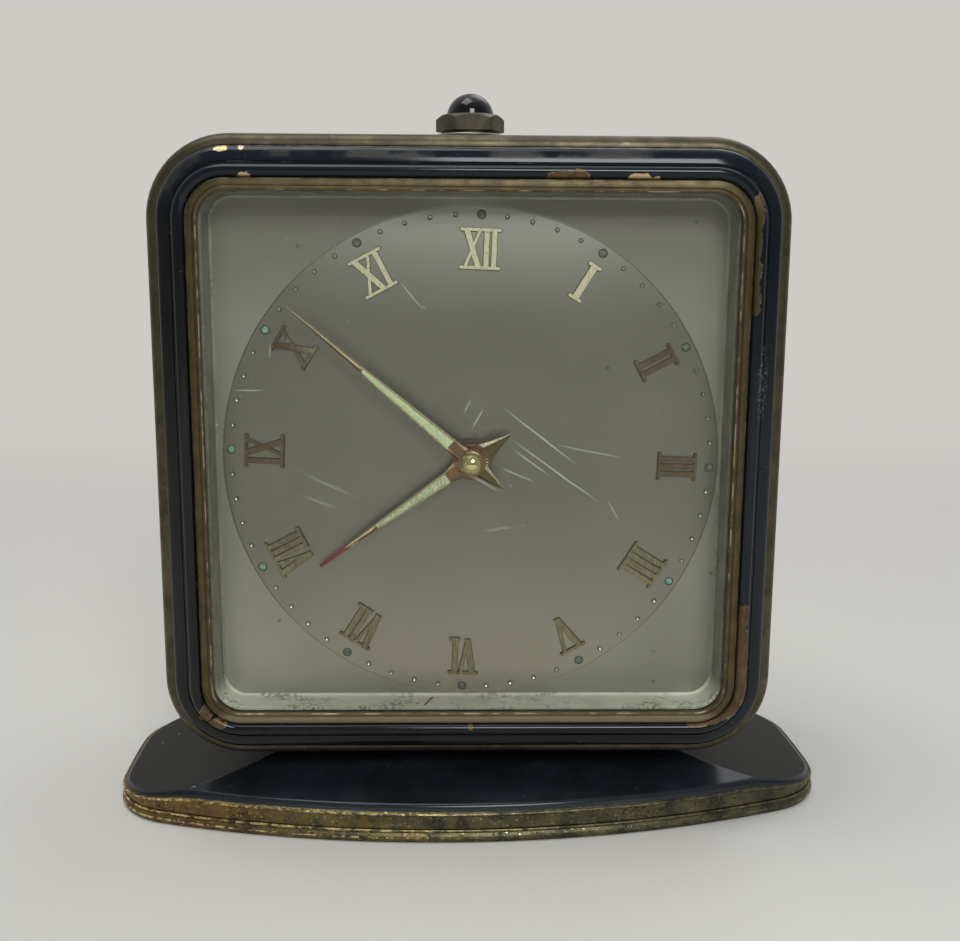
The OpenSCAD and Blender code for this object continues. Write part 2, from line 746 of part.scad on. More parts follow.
module back_plate() {
    color(brass) dial_face() {
        difference() {
            slab(plate_half, 5, back_face, back_inner);
            plate_holes(back_face);
            for (x = [-1, 1], y = [-1, 1])
                rod([x * pillar_at, y * pillar_at], back_face - 1, back_inner + 1, 1.2);
        }
        for (p = [click_at(going_at, -1), click_at(alarm_barrel_at, 1)]) {
            rod(p, ratchet_level - 1.3, back_face + 0.2, click_stud_r);
            rod(p, ratchet_level + seat, back_face + 0.2, 1.2);
        }
    }
}
// Four pillars, riveted in front and nutted behind, and the stud of the minute wheel
module plate_pillars() {
    color(steel) dial_face() {
        for (x = [-1, 1], y = [-1, 1]) {
            p = [x * pillar_at, y * pillar_at];
            rod(p, back_inner, front_inner, 2.2);
            rod(p, front_inner - 0.1, front_face, 1.2);
            rod(p, back_face - 1.6, back_inner + 0.1, 1.2);
            at(p, back_face - 1.4) difference() {
                cylinder(h = 1.4, r = 2.4, $fn = 6);
                translate([0, 0, -1]) cylinder(h = 4, r = 1.25);
            }
        }
        rod(motion_at, front_inner, minute_wheel_level + 2.4, staff_r);
    }
}

module centre_wheel() {
    color(brass) dial_face() {
        at(centre_at, centre_level - wheel_t) wheel(centre_teeth, coarse, 0, 2.2, arbor_r + fit);
        difference() {
            at(centre_at, centre_level - wheel_t - 2.7) toothed(centre_pinion, coarse, 0, 2.8);
            rod(centre_at, centre_level - 5, centre_level + 1, arbor_r + fit);
        }
    }
}
// An arbor with a pinion and a wheel, pivoted in both plates
module train_arbor(p, teeth, m, phase, level, pinion, pinion_m, pinion_phase, pinion_level) {
    rod(p, back_face, front_face, staff_r);
    at(p, level - wheel_t) wheel(teeth, m, phase, 1.6, 0.3);
    at(p, pinion_level - 1.6) toothed(pinion, pinion_m, pinion_phase, 1.6);
}
going_dir = heading(going_at, second_at);
second_dir = heading(second_at, centre_at);
module second_wheel() {
    color(brass) dial_face() train_arbor(second_at, second_teeth, coarse,
        mesh_phase(second_dir + 180, 0, centre_pinion, second_teeth), second_level,
        second_pinion, coarse, mesh_phase(going_dir, 0, barrel_teeth, second_pinion), great_level + 0.4);
}
module third_wheel() {
    color(brass) dial_face() train_arbor(third_at, third_teeth, fine, 0, third_level,
        third_pinion, coarse, mesh_phase(110, 0, centre_teeth, third_pinion), centre_level + 0.4);
}
module fourth_wheel() {
    color(brass) dial_face() train_arbor(fourth_at, fourth_teeth, fine, 0, fourth_level,
        fourth_pinion, fine, mesh_phase(50, 0, third_teeth, fourth_pinion), third_level + 0.4);
}
// Thin pointed teeth, as an escape wheel has
module pointed(n, r, depth, thick) {
    linear_extrude(thick) polygon([for (k = [0:n - 1], s = [[0, r], [0.08, r - 0.1],
        [0.3, r - depth], [0.85, r - depth]]) polar(s[1], 360 / n * (k + s[0]))]);
}
module escape_wheel() {
    color(brass) dial_face() {
        rod(escape_at, back_face, front_face, staff_r);
        at(escape_at, escape_level - 0.6) difference() {
            pointed(escape_teeth, escape_r, 1.3, 0.6);
            for (k = [0:3]) rotate([0, 0, 90 * k + 45]) translate([2.1, 0, -1]) cylinder(h = 3, r = 0.8);
        }
        at(escape_at, fourth_level + 0.4 - 1.6) toothed(escape_pinion, fine,
            mesh_phase(0, 0, fourth_teeth, escape_pinion), 1.6);
    }
}
module pallet_lever() {
    to_wheel = heading(pallet_at, escape_at);
    to_balance = heading(pallet_at, balance_at);
    color(steel) dial_face() {
        rod(pallet_at, back_face, front_face, staff_r);
        at(pallet_at, escape_level - 0.8) linear_extrude(1) difference() {
            union() {
                circle(r = 1.2);
                for (s = [-1, 1]) rotate(to_wheel + 90 * s)
                    polygon([[0, -0.5], [3.4, -0.4], [3.4, 0.4], [0, 0.5]]);
                rotate(to_balance) polygon([[0, -0.5], [6.6, -0.3], [6.6, 0.3], [0, 0.5]]);
            }
            circle(r = 0.3);
        }
        for (s = [-1, 1]) at(pallet_at + polar(3, to_wheel + 90 * s), escape_level - 0.8)
            rotate([0, 0, to_wheel]) translate([-0.3, -0.3, 0]) cube([1, 0.6, 1]);
    }
}
module balance_wheel() {
    color(brass) dial_face() {
        rod(balance_at, back_face, front_face, staff_r);
        at(balance_at, balance_level - 1) {
            difference() {
                cylinder(h = 1, r = balance_r);
                translate([0, 0, -1]) cylinder(h = 3, r = balance_r - 1);
            }
            translate([-balance_r + 0.5, -0.5, 0.1]) cube([2 * balance_r - 1, 1, 0.8]);
            cylinder(h = 1, r = 1.3);
            translate([0, 0, 0.9]) cylinder(h = 0.7, r = 1.1);
        }
    }
}
// Flat spiral spring round the balance staff, from its collet out to its stud
module hairspring() {
    turns = 5;
    steps = 20;
    wire = 0.16;
    function coil(k, off) = polar(1.5 + 3 * k / (turns * steps) + off, 360 * k / steps);
    color(steel) dial_face() at(balance_at, hairspring_level - 0.3) {
        linear_extrude(0.3) polygon(concat([for (k = [0:turns * steps]) coil(k, wire / 2)],
            [for (k = [turns * steps:-1:0]) coil(k, -wire / 2)]));
        translate([4.5, 0, back_inner - hairspring_level + 0.3]) cylinder(h = hairspring_level
            - back_inner, r = 0.45);
    }
}
module regulator_lever() {
    color(steel) dial_face() {
        at(balance_at, back_face - 0.9) difference() {
            union() {
                cylinder(h = 0.7, r = 2.2);
                translate([-0.7, 0, 0]) cube([1.4, regulator_reach, 0.7]);
            }
            translate([0, 0, -1]) cylinder(h = 3, r = staff_r + fit);
        }
        rod(balance_at + [0, regulator_reach], cover_out - 1.6, back_face - 0.2, 0.7);
    }
}

// Spring barrels, their winding arbors with ratchet wheels, keys and clicks
module barrel(p, teeth, drum_r) {
    phase = 0;
    at(p, great_level - wheel_t) difference() {
        union() {
            toothed(teeth, coarse, phase, wheel_t);
            translate([0, 0, -drum_h]) cylinder(h = drum_h + 0.1, r = drum_r);
        }
        translate([0, 0, -drum_h - 1]) cylinder(h = drum_h + 3, r = 1.5 + fit);
    }
}
module winding_arbor(p) {
    rod(p, cover_out - 3.4, front_face, 1.5);
    at(p, ratchet_level - 1) pointed(ratchet_teeth, ratchet_r, 0.8, 1);
}
module winding_key(p, tilt) {
    at(p, cover_out - 3.6) rotate([0, 0, tilt]) difference() {
        union() {
            translate([0, 0, -0.6]) cylinder(h = 3.4, r = 2.8);
            for (s = [-1, 1]) translate([s * (key_w / 2 - 3.6), 0.8, -0.6 - key_h / 2 + 1])
                rotate([90, 0, 0]) cylinder(h = 1.6, r = 3.6);
            translate([-key_w / 2 + 3.6, -0.8, -key_h / 2 + 1]) cube([key_w - 7.2, 1.6, key_h / 2]);
        }
        translate([0, 0, 0.2]) cylinder(h = 5, r = 1.5);
    }
}
function click_at(p, side) = p + [side * 6.6, 5.2];
module click(p, side) {
    at(click_at(p, side), ratchet_level - 1) difference() {
        union() {
            cylinder(h = 1, r = 1.3);
            rotate([0, 0, side > 0 ? 205 : -25]) translate([0, -0.5, 0]) cube([2.6, 1, 1]);
        }
        translate([0, 0, -1]) cylinder(h = 3, r = click_stud_r + fit);
    }
}
module going_barrel() { color(brass) dial_face() barrel(going_at, barrel_teeth, 11.4); }
module going_arbor() { color(steel) dial_face() winding_arbor(going_at); }
module going_key() { color(brass) dial_face() winding_key(going_at, 0); }
module going_click() { color(steel) dial_face() click(going_at, -1); }
module alarm_barrel() { color(brass) dial_face() barrel(alarm_barrel_at, alarm_barrel_teeth, 9.4); }
module alarm_arbor() { color(steel) dial_face() winding_arbor(alarm_barrel_at); }
module alarm_key() { color(brass) dial_face() winding_key(alarm_barrel_at, 0); }
module alarm_click() { color(steel) dial_face() click(alarm_barrel_at, 1); }

module alarm_escape() {
    color(brass) dial_face() {
        rod(alarm_escape_at, back_face, front_face, staff_r);
        at(alarm_escape_at, great_level - wheel_t - 0.4) toothed(alarm_escape_pinion, coarse,
            mesh_phase(215, 0, alarm_barrel_teeth, alarm_escape_pinion), 1.6);
        at(alarm_escape_at, alarm_escape_level - 0.8) pointed(alarm_escape_teeth, 4.8, 1.4, 0.8);
    }
}
// Hammer on its verge: the two pallets sit by the alarm escape wheel
module hammer() {
    color(steel) dial_face() {
        rod(hammer_at, back_face - 2.4, front_face, staff_r);
        at(hammer_at, alarm_escape_level - 0.9) {
            translate([-2.6, -0.5, 0]) cube([5.2, 1, 1]);
            for (s = [-1, 1]) translate([s * 2.3 - 0.3, 0, 0]) cube([0.6, 1.3, 1]);
        }
        at(hammer_at, back_face - 2.4) {
            cylinder(h = 1, r = 1.3);
            translate([-hammer_reach, -0.5, 0]) cube([hammer_reach, 1, 1]);
        }
        at(hammer_at - [hammer_reach, 0], back_face - 4.4) cylinder(h = 4, r = 2);
    }
}
module strike_post() {
    color(steel) dial_face() rod(strike_at, back_face - 6, back_face, 2);
}

module corner_posts() {
    color(steel) face() for (x = [-1, 1], y = [-1, 1]) {
        p = [x * post_at, y * post_at];
        rod(p, front_inner - 0.1, -dial_t - seat, stud_r);
        at(p, cover_in) difference() {
            cylinder(h = front_inner - cover_in, r = post_r);
            translate([0, 0, -1]) cylinder(h = 7, r = screw_r);
        }
        tube(p, front_face, -dial_t - seat, post_r, stud_r + fit);
    }
}
module rear_cover() {
    color(brass) difference() {
        face() slab(band_inner - seat, case_corner - band_step - band_wall - seat, cover_out, cover_in);
        dial_face() {
            for (p = [going_at, alarm_barrel_at]) rod(p, cover_out - 1, cover_in + 1, 3.2);
            for (p = [centre_at, alarm_set_at]) rod(p, cover_out - 1, cover_in + 1, 2.4);
            for (a = [-regulator_sweep:5:regulator_sweep])
                rod(balance_at + polar(regulator_reach, 90 + a), cover_out - 1, cover_in + 1, 1.1);
        }
        face() for (x = [-1, 1], y = [-1, 1])
            rod([x * post_at, y * post_at], cover_out - 1, cover_in + 1, screw_r + 0.1);
    }
}
module cover_screws() {
    color(steel) face() for (x = [-1, 1], y = [-1, 1]) at([x * post_at, y * post_at], 0) difference() {
        union() {
            translate([0, 0, cover_out - 1.1]) cylinder(h = 1.1 - 0.01, r = 2);
            translate([0, 0, cover_out - 0.1]) cylinder(h = 5, r = screw_r);
        }
        translate([-3, -0.25, cover_out - 2]) cube([6, 0.5, 1.4]);
    }
}

// Alarm button in a hexagonal bushing on the top of the case
module hex_bushing() {
    color(bronze) translate([0, button_y, 0]) difference() {
        union() {
            intersection() {
                translate([0, 0, hex_low]) rotate([0, 0, 4]) cylinder(h = hex_h, r = hex_af / sqrt(3), $fn = 6);
                translate([0, 0, hex_low - 6]) cylinder(h = hex_h + 6, r1 = hex_af / sqrt(3) + 6,
                    r2 = hex_af / sqrt(3) - 0.35);
            }
            translate([0, 0, hex_low - 0.5]) cylinder(h = 0.6, r = 4);
            translate([0, 0, bush_low]) cylinder(h = hex_low - bush_low + 0.1, r = bush_r);
        }
        translate([0, 0, bush_low - 1]) cylinder(h = 20, r = stem_r + fit);
        translate([0, 0, bush_low + 0.6]) cylinder(h = 20, r = well_r);
        translate([0, 0, cup_floor]) cylinder(h = 20, r = button_r + fit);
    }
}
module button_washer() {
    color([0.75, 0.72, 0.62]) translate([0, button_y, 0]) difference() {
        union() {
            translate([0, 0, case_top]) cylinder(h = hex_low - case_top - 0.8, r = 4.6);
            translate([0, 0, hex_low - 0.85]) cylinder(h = 0.35, r = 5.3);
        }
        translate([0, 0, case_top - 1]) cylinder(h = 5, r = bush_r + fit);
    }
}
module bushing_nut() {
    color(brass) translate([0, button_y, case_top - band_wall - 1.8]) difference() {
        cylinder(h = 1.8, r = 4.6, $fn = 6);
        translate([0, 0, -1]) cylinder(h = 4, r = bush_r);
    }
}
stem_low = case_top - 9;
module alarm_button() {
    color([0.05, 0.05, 0.06]) translate([0, button_y, 0]) {
        translate([0, 0, dome_mid]) difference() {
            sphere(r = button_r, $fn = 64);
            translate([-5, -5, -10]) cube([10, 10, 10]);
        }
        translate([0, 0, button_low]) cylinder(h = dome_mid - button_low + 0.01, r = button_r);
        translate([0, 0, stem_low]) cylinder(h = button_low - stem_low + 0.1, r = stem_r);
    }
}
// Return spring round the stem: an unbroken coil of square wire
module button_spring() {
    low = bush_low + 0.65;
    high = button_low - 0.05;
    turns = 6;
    steps = 16;
    wire = 0.3;
    mean = (stem_r + well_r) / 2;
    rings = turns * steps;
    function ring(k) = let (a = 360 * k / steps, z = low + wire / 2 + (high - low - wire) * k / rings)
        [for (s = [[-1, -1], [1, -1], [1, 1], [-1, 1]])
            [for (v = polar(mean + s[0] * wire / 2, a)) v, z + s[1] * wire / 2]];
    points = [for (k = [0:rings]) each ring(k)];
    faces = concat([[0, 1, 2], [0, 2, 3]],
        [for (k = [0:rings - 1], s = [0:3]) let (a = 4 * k + s, b = 4 * k + (s + 1) % 4)
            each [[a, a + 4, b], [b, a + 4, b + 4]]],
        [let (e = 4 * rings) [e, e + 2, e + 1]], [let (e = 4 * rings) [e, e + 3, e + 2]]);
    color(steel) translate([0, button_y, 0]) polyhedron(points, faces);
}

base_cover();
base_ring();
base_plate();
base_weight();
swivel_bolt();
swivel_nut();
swivel_collar();
case_band();
case_rim();
bezel_moulding();
window_frame();
crystal();
dial_surround();
dial_plate();
hour_numerals();
hour_dots();
corner_posts();
rear_cover();
cover_screws();
hex_bushing();
button_washer();
bushing_nut();
alarm_button();
button_spring();
front_plate();
back_plate();
plate_pillars();
minute_hand();
minute_lume();
hand_cap();
centre_arbor();
time_knob();
hour_hand();
hour_lume();
hour_wheel();
minute_wheel();
alarm_hand();
alarm_wheel();
alarm_set_arbor();
alarm_set_knob();
centre_wheel();
second_wheel();
third_wheel();
fourth_wheel();
escape_wheel();
pallet_lever();
balance_wheel();
hairspring();
regulator_lever();
going_barrel();
going_arbor();
going_key();
going_click();
alarm_barrel();
alarm_arbor();
alarm_key();
alarm_click();
alarm_escape();
hammer();
strike_post();
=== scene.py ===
from functools import reduce
from math import atan, atan2, copysign, cos, degrees, hypot, radians, sin, sqrt, tan
from operator import or_

import bmesh
import bpy
from mathutils import Matrix, Vector
from mathutils.geometry import intersect_sphere_sphere_2d


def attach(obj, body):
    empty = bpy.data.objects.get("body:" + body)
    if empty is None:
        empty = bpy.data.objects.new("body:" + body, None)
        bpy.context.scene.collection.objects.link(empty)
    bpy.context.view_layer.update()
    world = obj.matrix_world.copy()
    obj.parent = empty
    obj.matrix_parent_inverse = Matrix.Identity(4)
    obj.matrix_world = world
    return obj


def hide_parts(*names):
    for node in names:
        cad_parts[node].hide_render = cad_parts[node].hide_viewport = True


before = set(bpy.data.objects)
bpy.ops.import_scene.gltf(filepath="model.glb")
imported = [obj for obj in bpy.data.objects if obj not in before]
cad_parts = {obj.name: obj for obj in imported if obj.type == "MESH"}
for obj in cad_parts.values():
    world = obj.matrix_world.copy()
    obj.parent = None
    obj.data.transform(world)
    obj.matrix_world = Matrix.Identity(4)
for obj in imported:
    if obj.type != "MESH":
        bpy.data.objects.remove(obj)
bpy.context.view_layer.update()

# Places on the clock, in millimetres as on the drawing
MM = 0.001
DIAL_AHEAD = 16.5
CASE_MID = 56.0
DIAL_RIGHT = 0.28
DIAL_DROP = 0.45
DIAL_TURN = 2.1
BASE_TURN = 2.0
BASE_SHIFT = 0.45
BUTTON_Y = -7.0
CORNER = 33.0
MARKS_R = 34.6
EVEN = (1, 1, 1)

case_face = Matrix(((MM, 0, 0, 0), (0, 0, -MM, -DIAL_AHEAD * MM), (0, MM, 0, CASE_MID * MM), (0, 0, 0, 1)))
dial_face = case_face @ Matrix.Translation((DIAL_RIGHT, -DIAL_DROP, 0))


def about_z(turn, size=4):
    return Matrix.Rotation(radians(turn), size, "Z")


def stand(name, data):
    """Adds an object to the scene."""
    made = bpy.data.objects.new(name, data)
    bpy.context.scene.collection.objects.link(made)
    return made


turned_dial = dial_face @ about_z(-DIAL_TURN)
base_frame = Matrix.Scale(MM, 4) @ Matrix.Translation((BASE_SHIFT, 0, 0)) @ about_z(BASE_TURN)
button_frame = Matrix.Scale(MM, 4) @ Matrix.Translation((0, BUTTON_Y, 0))


class Signal:
    """A value that changes over a surface. Sums and products of signals add Math nodes."""

    def __init__(self, finish, socket):
        self.finish = finish
        self.socket = socket

    def math(self, operation, first, second):
        return self.finish.node("Math", {"operation": operation}, {0: first, 1: second})

    def __add__(self, other):
        return self.math("ADD", self, other)

    def __sub__(self, other):
        return self.math("SUBTRACT", self, other)

    def __rsub__(self, other):
        return self.math("SUBTRACT", other, self)

    def __mul__(self, other):
        return self.math("MULTIPLY", self, other)

    def __pow__(self, other):
        return self.math("POWER", self, other)

    def __or__(self, other):
        return self.math("MAXIMUM", self, other)

    def __and__(self, other):
        return self.math("MINIMUM", self, other)

    def __abs__(self):
        return self.math("ABSOLUTE", self, 0.0)

    __radd__ = __add__
    __rmul__ = __mul__

    def between(self, low, high):
        """0 below low, 1 above high, with a soft step between them."""
        return self.finish.node("MapRange", {"interpolation_type": "SMOOTHSTEP"},
                                {"Value": self, "From Min": low, "From Max": high})

    def below(self, low, high):
        return 1.0 - self.between(low, high)

    def band(self, middle, width, soft=0.3):
        """1 within half the width of the middle value, fading to 0 outside it."""
        return abs(self - middle).below(width / 2, width / 2 * (1 + soft))

    def ramp(self, low, high, first, second):
        """The first colour below low and the second above high."""
        return self.finish.mix(self.between(low, high), first, second)


class Web:
    """The shader nodes of a material or of the world."""

    def __init__(self, owner):
        owner.use_nodes = True
        self.tree = owner.node_tree

    def node(self, kind, settings=None, sockets=None, output=0):
        made = self.tree.nodes.new("ShaderNode" + kind)
        for key, value in (settings or {}).items():
            setattr(made, key, value)
        for key, value in (sockets or {}).items():
            if isinstance(value, Signal):
                self.tree.links.new(value.socket, made.inputs[key])
            else:
                made.inputs[key].default_value = value
        return Signal(self, made.outputs[output])

    def mix(self, amount, first, second, way="MIX"):
        pair = [part if isinstance(part, Signal) else (*part, 1) for part in (first, second)]
        settings = {"data_type": "RGBA", "blend_type": way}
        return self.node("Mix", settings, {0: amount, 6: pair[0], 7: pair[1]}, 2)

    def end(self, node, socket, value):
        """Feeds a value into a node that is already there."""
        self.tree.links.new(value.socket, self.tree.nodes[node].inputs[socket])


class Finish(Web):
    """A surface finish: one shader and the nodes that vary it."""

    def __init__(self, name, roughness=0.4, metallic=0.0, specular=0.5):
        self.material = bpy.data.materials.new(name)
        super().__init__(self.material)
        self.shader = self.tree.nodes["Principled BSDF"]
        self.shader.inputs["Roughness"].default_value = roughness
        self.shader.inputs["Metallic"].default_value = metallic
        self.shader.inputs["Specular IOR Level"].default_value = specular
        self.place = self.node("TexCoord", output="Object")

    def done(self, colour, rough=None, metal=None, height=None, depth_mm=0.0):
        """Feeds the shader with what varies, and returns the finish."""
        values = {"Base Color": colour, "Roughness": rough, "Metallic": metal}
        if height is not None:
            values["Normal"] = self.node("Bump", {}, {"Height": height, "Distance": depth_mm * MM}, "Normal")
        for socket, value in values.items():
            if value is not None:
                self.end("Principled BSDF", socket, value)
        return self

    def blend(self, amount, first=None, second=None):
        """Makes the surface a mix of two shaders; the one that isn't given is the finish's own."""
        own = Signal(self, self.shader.outputs["BSDF"])
        mixed = self.node("MixShader", {}, {0: amount, 1: first or own, 2: second or own})
        self.end("Material Output", "Surface", mixed)
        return self

    def grain(self, size_mm, detail=4.0, stretch=EVEN, seed=0.0, rough=0.55):
        """Noise whose features are about size_mm across, from 0 to 1."""
        spread = tuple(1 / (size_mm * MM * part) for part in stretch)
        shift = (seed, seed, -seed)
        spot = self.node("Mapping", {}, {"Vector": self.place, "Scale": spread, "Location": shift})
        return self.node("TexNoise", {}, {"Vector": spot, "Scale": 1.0, "Detail": detail, "Roughness": rough})

    def marks(self, fine, least, most, patchy, low, high):
        """Fine marks that come in patches: two grains, each cut between two levels, and multiplied."""
        return self.grain(*fine).between(least, most) * self.grain(*patchy).between(low, high)

    def specks(self, size_mm, share, seed=0.0):
        """Round specks, 1 inside and 0 outside, about one in every size_mm; share is how many stay."""
        spot = self.node("Mapping", {}, {"Vector": self.place, "Location": (seed, -seed, seed)})
        cell = {"Vector": spot, "Scale": 1 / (size_mm * MM)}
        near = self.node("TexVoronoi", {}, cell, "Distance")
        lot = self.node("SeparateColor", {}, {"Color": self.node("TexVoronoi", {}, cell, "Color")}, 0)
        return near.below(0.05, 0.11) * lot.between(1 - share, 1.02 - share)

    def axis(self, name):
        """X, Y or Z of the place on the clock, in millimetres."""
        return self.node("SeparateXYZ", {}, {"Vector": self.place}, name) * 1000.0

    x = property(lambda self: self.axis("X"))
    y = property(lambda self: self.axis("Y"))
    z = property(lambda self: self.axis("Z"))

    def layers(self, colour, *coats):
        """Puts coats of (amount, colour) over a colour, one after the other."""
        for amount, coat in coats:
            colour = self.mix(amount, colour, coat)
        return colour

    def ragged(self, size_mm, amount_mm):
        """The place, pushed about by noise, so that a patch drawn on it has a ragged edge."""
        noise = {"Vector": self.place, "Scale": 1000 / size_mm, "Detail": 3.0}
        push = self.node("TexNoise", {}, noise, "Color")
        push = self.node("VectorMath", {"operation": "SUBTRACT"}, {0: push, 1: (0.5, 0.5, 0.5)})
        push = self.node("VectorMath", {"operation": "SCALE"}, {0: push, "Scale": amount_mm * MM * 2})
        return self.node("VectorMath", {"operation": "ADD"}, {0: self.place, 1: push})

    def patch(self, place, centre, size, turn=0.0):
        """1 in the middle of an ellipse on the front of the clock, falling to 0 at its edge. Sizes in mm."""
        spot = self.node("Mapping", {"vector_type": "TEXTURE"}, {
            "Vector": place, "Location": (centre[0] * MM, -0.02, centre[1] * MM),
            "Rotation": (0, radians(-turn), 0), "Scale": (size[0] * MM, 1.0, size[1] * MM)})
        return self.node("TexGradient", {"gradient_type": "SPHERICAL"}, {"Vector": spot})

    def patches(self, place, spots):
        return reduce(or_, [self.patch(place, *spot) for spot in spots])

    def square_reach(self):
        """Half size of the case's square at each point of the front, in millimetres."""
        across = abs(self.x) - CORNER
        upright = abs(self.z - CASE_MID) - CORNER
        outside = ((across | 0.0) ** 2.0 + (upright | 0.0) ** 2.0) ** 0.5
        return outside + ((across | upright) & 0.0) + CORNER


# Finishes
BLUE_BLACK = ((0.0036, 0.0042, 0.0042), (0.0075, 0.009, 0.0105))


def lacquered(name, roughness, pale, deep, specular=0.3):
    """A gloss lacquer with faint clouds: the finish, its clouds, its fine grain and its colour."""
    made = Finish(name, roughness, specular=specular)
    cloud = made.grain(9, 4, seed=3)
    return made, cloud, made.grain(0.5, 3, seed=7), cloud.ramp(0.35, 0.7, pale, deep)


def case_lacquer():
    """Gloss blue-black lacquer with hair scuffs and dust."""
    made, cloud, fine, colour = lacquered("case_lacquer", 0.2, *BLUE_BLACK)
    scuff = made.marks((0.9, 5, (1, 1, 5), 2), 0.63, 0.74, (7, 2, EVEN, 5), 0.5, 0.62)
    dust = made.specks(1.6, 0.22)
    colour = made.mix((scuff * 0.3) | (dust * 0.5), colour, (0.09, 0.09, 0.085))
    return made.done(colour, 0.17 + cloud * 0.1 + (scuff | dust) * 0.3 + (fine - 0.5) * 0.05,
                     height=fine * 0.05, depth_mm=0.05)


# Chips in the bezel's lacquer: place on the front and half size in mm, and turn in degrees
bezel_chips = [
    ((-33.7, 98.4), (1.0, 0.42), -4), ((-31.0, 98.6), (0.4, 0.36), 0), ((-30.3, 94.8), (0.85, 0.5), 0),
    ((12.0, 94.7), (2.3, 0.95), 5), ((14.2, 95.0), (1.7, 0.9), -6), ((22.9, 94.7), (2.1, 0.7), -4),
    ((24.4, 94.5), (1.4, 0.5), 0), ((-38.0, 91.1), (0.28, 0.75), -18), ((38.9, 90.2), (0.85, 3.0), 0),
    ((38.8, 86.0), (0.72, 2.8), 0), ((38.8, 82.6), (0.95, 2.6), 0), ((38.9, 79.4), (0.85, 2.4), 0),
    ((38.9, 77.4), (0.95, 0.9), 0), ((39.2, 34.0), (1.3, 1.6), 0), ((39.0, 31.8), (0.9, 1.8), 0),
    ((39.2, 27.3), (1.5, 5.6), 0), ((39.1, 21.9), (1.3, 2.3), -20), ((37.7, 19.5), (1.6, 1.3), 45),
    ((35.7, 18.2), (2.1, 0.85), 12), ((33.4, 17.7), (1.9, 0.75), 0), ((-38.0, 19.2), (1.0, 1.9), -30),
    ((-36.4, 17.6), (1.5, 0.8), -10), ((-38.5, 38.4), (0.3, 0.34), 0), ((0.2, 17.1), (0.35, 0.5), 0),
    ((41.2, 96.5), (0.42, 0.55), 40),
]


def bezel_lacquer():
    """The bezel's lacquer: chipped to bare brown metal, and rubbed along its edges and steps."""
    made, cloud, fine, colour = lacquered("bezel_lacquer", 0.12, *BLUE_BLACK)
    streak = made.grain(1.1, 4, (7, 7, 7), seed=4)
    reach = made.square_reach() + (fine - 0.5) * 0.12
    height = made.z
    top = height.between(80.0, 97.0)
    edge = reach.band(42.88, 0.14) * made.grain(2.2, 3, seed=11).between(0.46, 0.6) * (0.25 + top * 0.75)
    rubbed = reach.band(42.0, 0.75, 1.2) * streak.between(0.42, 0.6) * height.between(86, 97)
    step = reach.band(40.72, 0.10) * made.grain(3, 3, seed=12).between(0.54, 0.66) * (0.15 + top * 0.45)
    grey = (made.patch(made.place, (40.6, 66.8), (1.1, 7.0)).between(0.0, 0.5)
            * made.grain(0.35, 3, seed=9).between(0.5, 0.6))
    scuff = made.marks((0.8, 5, (1, 1, 4), 2), 0.64, 0.74, (6, 2, EVEN, 5), 0.5, 0.62)
    chip = made.patches(made.ragged(1.0, 0.6), bezel_chips)
    bare = chip.between(0.05, 0.08)
    lip = chip.between(0.0, 0.04) * chip.below(0.07, 0.12)
    lip = lip * made.grain(1.2, 2, seed=14).between(0.5, 0.58)
    dust = made.specks(1.5, 0.2)
    across = made.x
    # painted reflection: the top and the right side are tinted bluer, standing in for the sky light they
    # reflect
    painted_blue_sheen = height.between(86, 97) | across.between(28, 42)
    colour = made.layers(colour, (painted_blue_sheen * 0.75, (0.0055, 0.0105, 0.0185)),
                         (rubbed * 0.75, (0.040, 0.038, 0.033)),
                         ((scuff * 0.25) | (dust * 0.5) | (grey * 0.8), (0.10, 0.10, 0.095)),
                         ((edge | step) * 0.8, (0.26, 0.235, 0.17)))
    cloudy = made.grain(1.8, 4, seed=9).between(0.3, 0.7)
    pale = height.between(90, 93) * (across.below(-29.5, -28.5) | across.between(20.5, 21.5))
    tarnish = across.between(36.0, 37.0) * height.between(60, 66)
    brown = made.layers(made.mix(cloudy, (0.10, 0.066, 0.034), (0.155, 0.108, 0.058)),
                        (made.grain(0.4, 3, seed=15).between(0.6, 0.7), (0.05, 0.03, 0.018)),
                        (pale, (0.62, 0.47, 0.27)), (tarnish * 0.8, (0.085, 0.070, 0.032)))
    colour = made.layers(colour, (bare, brown), (lip * 0.6, (0.5, 0.42, 0.26)))
    rough = 0.09 + cloud * 0.06 + (bare | grey | rubbed | dust) * 0.3 + (fine - 0.5) * 0.03
    return made.done(colour, rough, (bare | ((edge | step) * 0.6)) * 0.85, fine * 0.05 - bare, 0.06)


def aged_brass(name, bright, dull, dark, roughness=0.38, size=2.2, spots=0.5, lines=None, metallic=0.92):
    """Brass with cloudy tarnish and small pitted spots; lines says where it shows wear, and on the window
    frame also painted light, and to what colour.
    """
    made = Finish(name, roughness, metallic)
    cloud = made.grain(size, 5, seed=1)
    fine = made.grain(size * 0.16, 4, seed=4)
    colour = cloud.ramp(0.3, 0.68, bright, dull)
    pits = (fine.between(0.6, 0.7) * cloud.between(0.35, 0.6)) * spots
    colour = made.mix(pits, colour, dark)
    rough = roughness - 0.08 + cloud * 0.2 + pits * 0.3
    if lines:
        wear_and_light, shine = lines(made)
        colour = made.mix(wear_and_light, colour, shine)
        rough = rough - wear_and_light * 0.14
    return made.done(colour, rough, metallic - pits * (metallic * 0.5), fine * 0.7 - pits, 0.03)


def frame_lines(made):
    """Bright edges of the window frame, rubbed by wear, and painted light on its upward-facing bottom side.
    """
    reach = made.square_reach()
    patchy = made.grain(2.4, 4, seed=6).between(0.48, 0.62)
    # painted light: the frame's bottom side, which faces up towards the light, is made paler
    low = made.z.below(18.2, 19.2)
    edges = ((reach.band(38.45, 0.14) * 0.5) | reach.band(37.02, 0.14)) * patchy
    return (edges * 0.75) | (low * 0.45), (0.45, 0.38, 0.24)


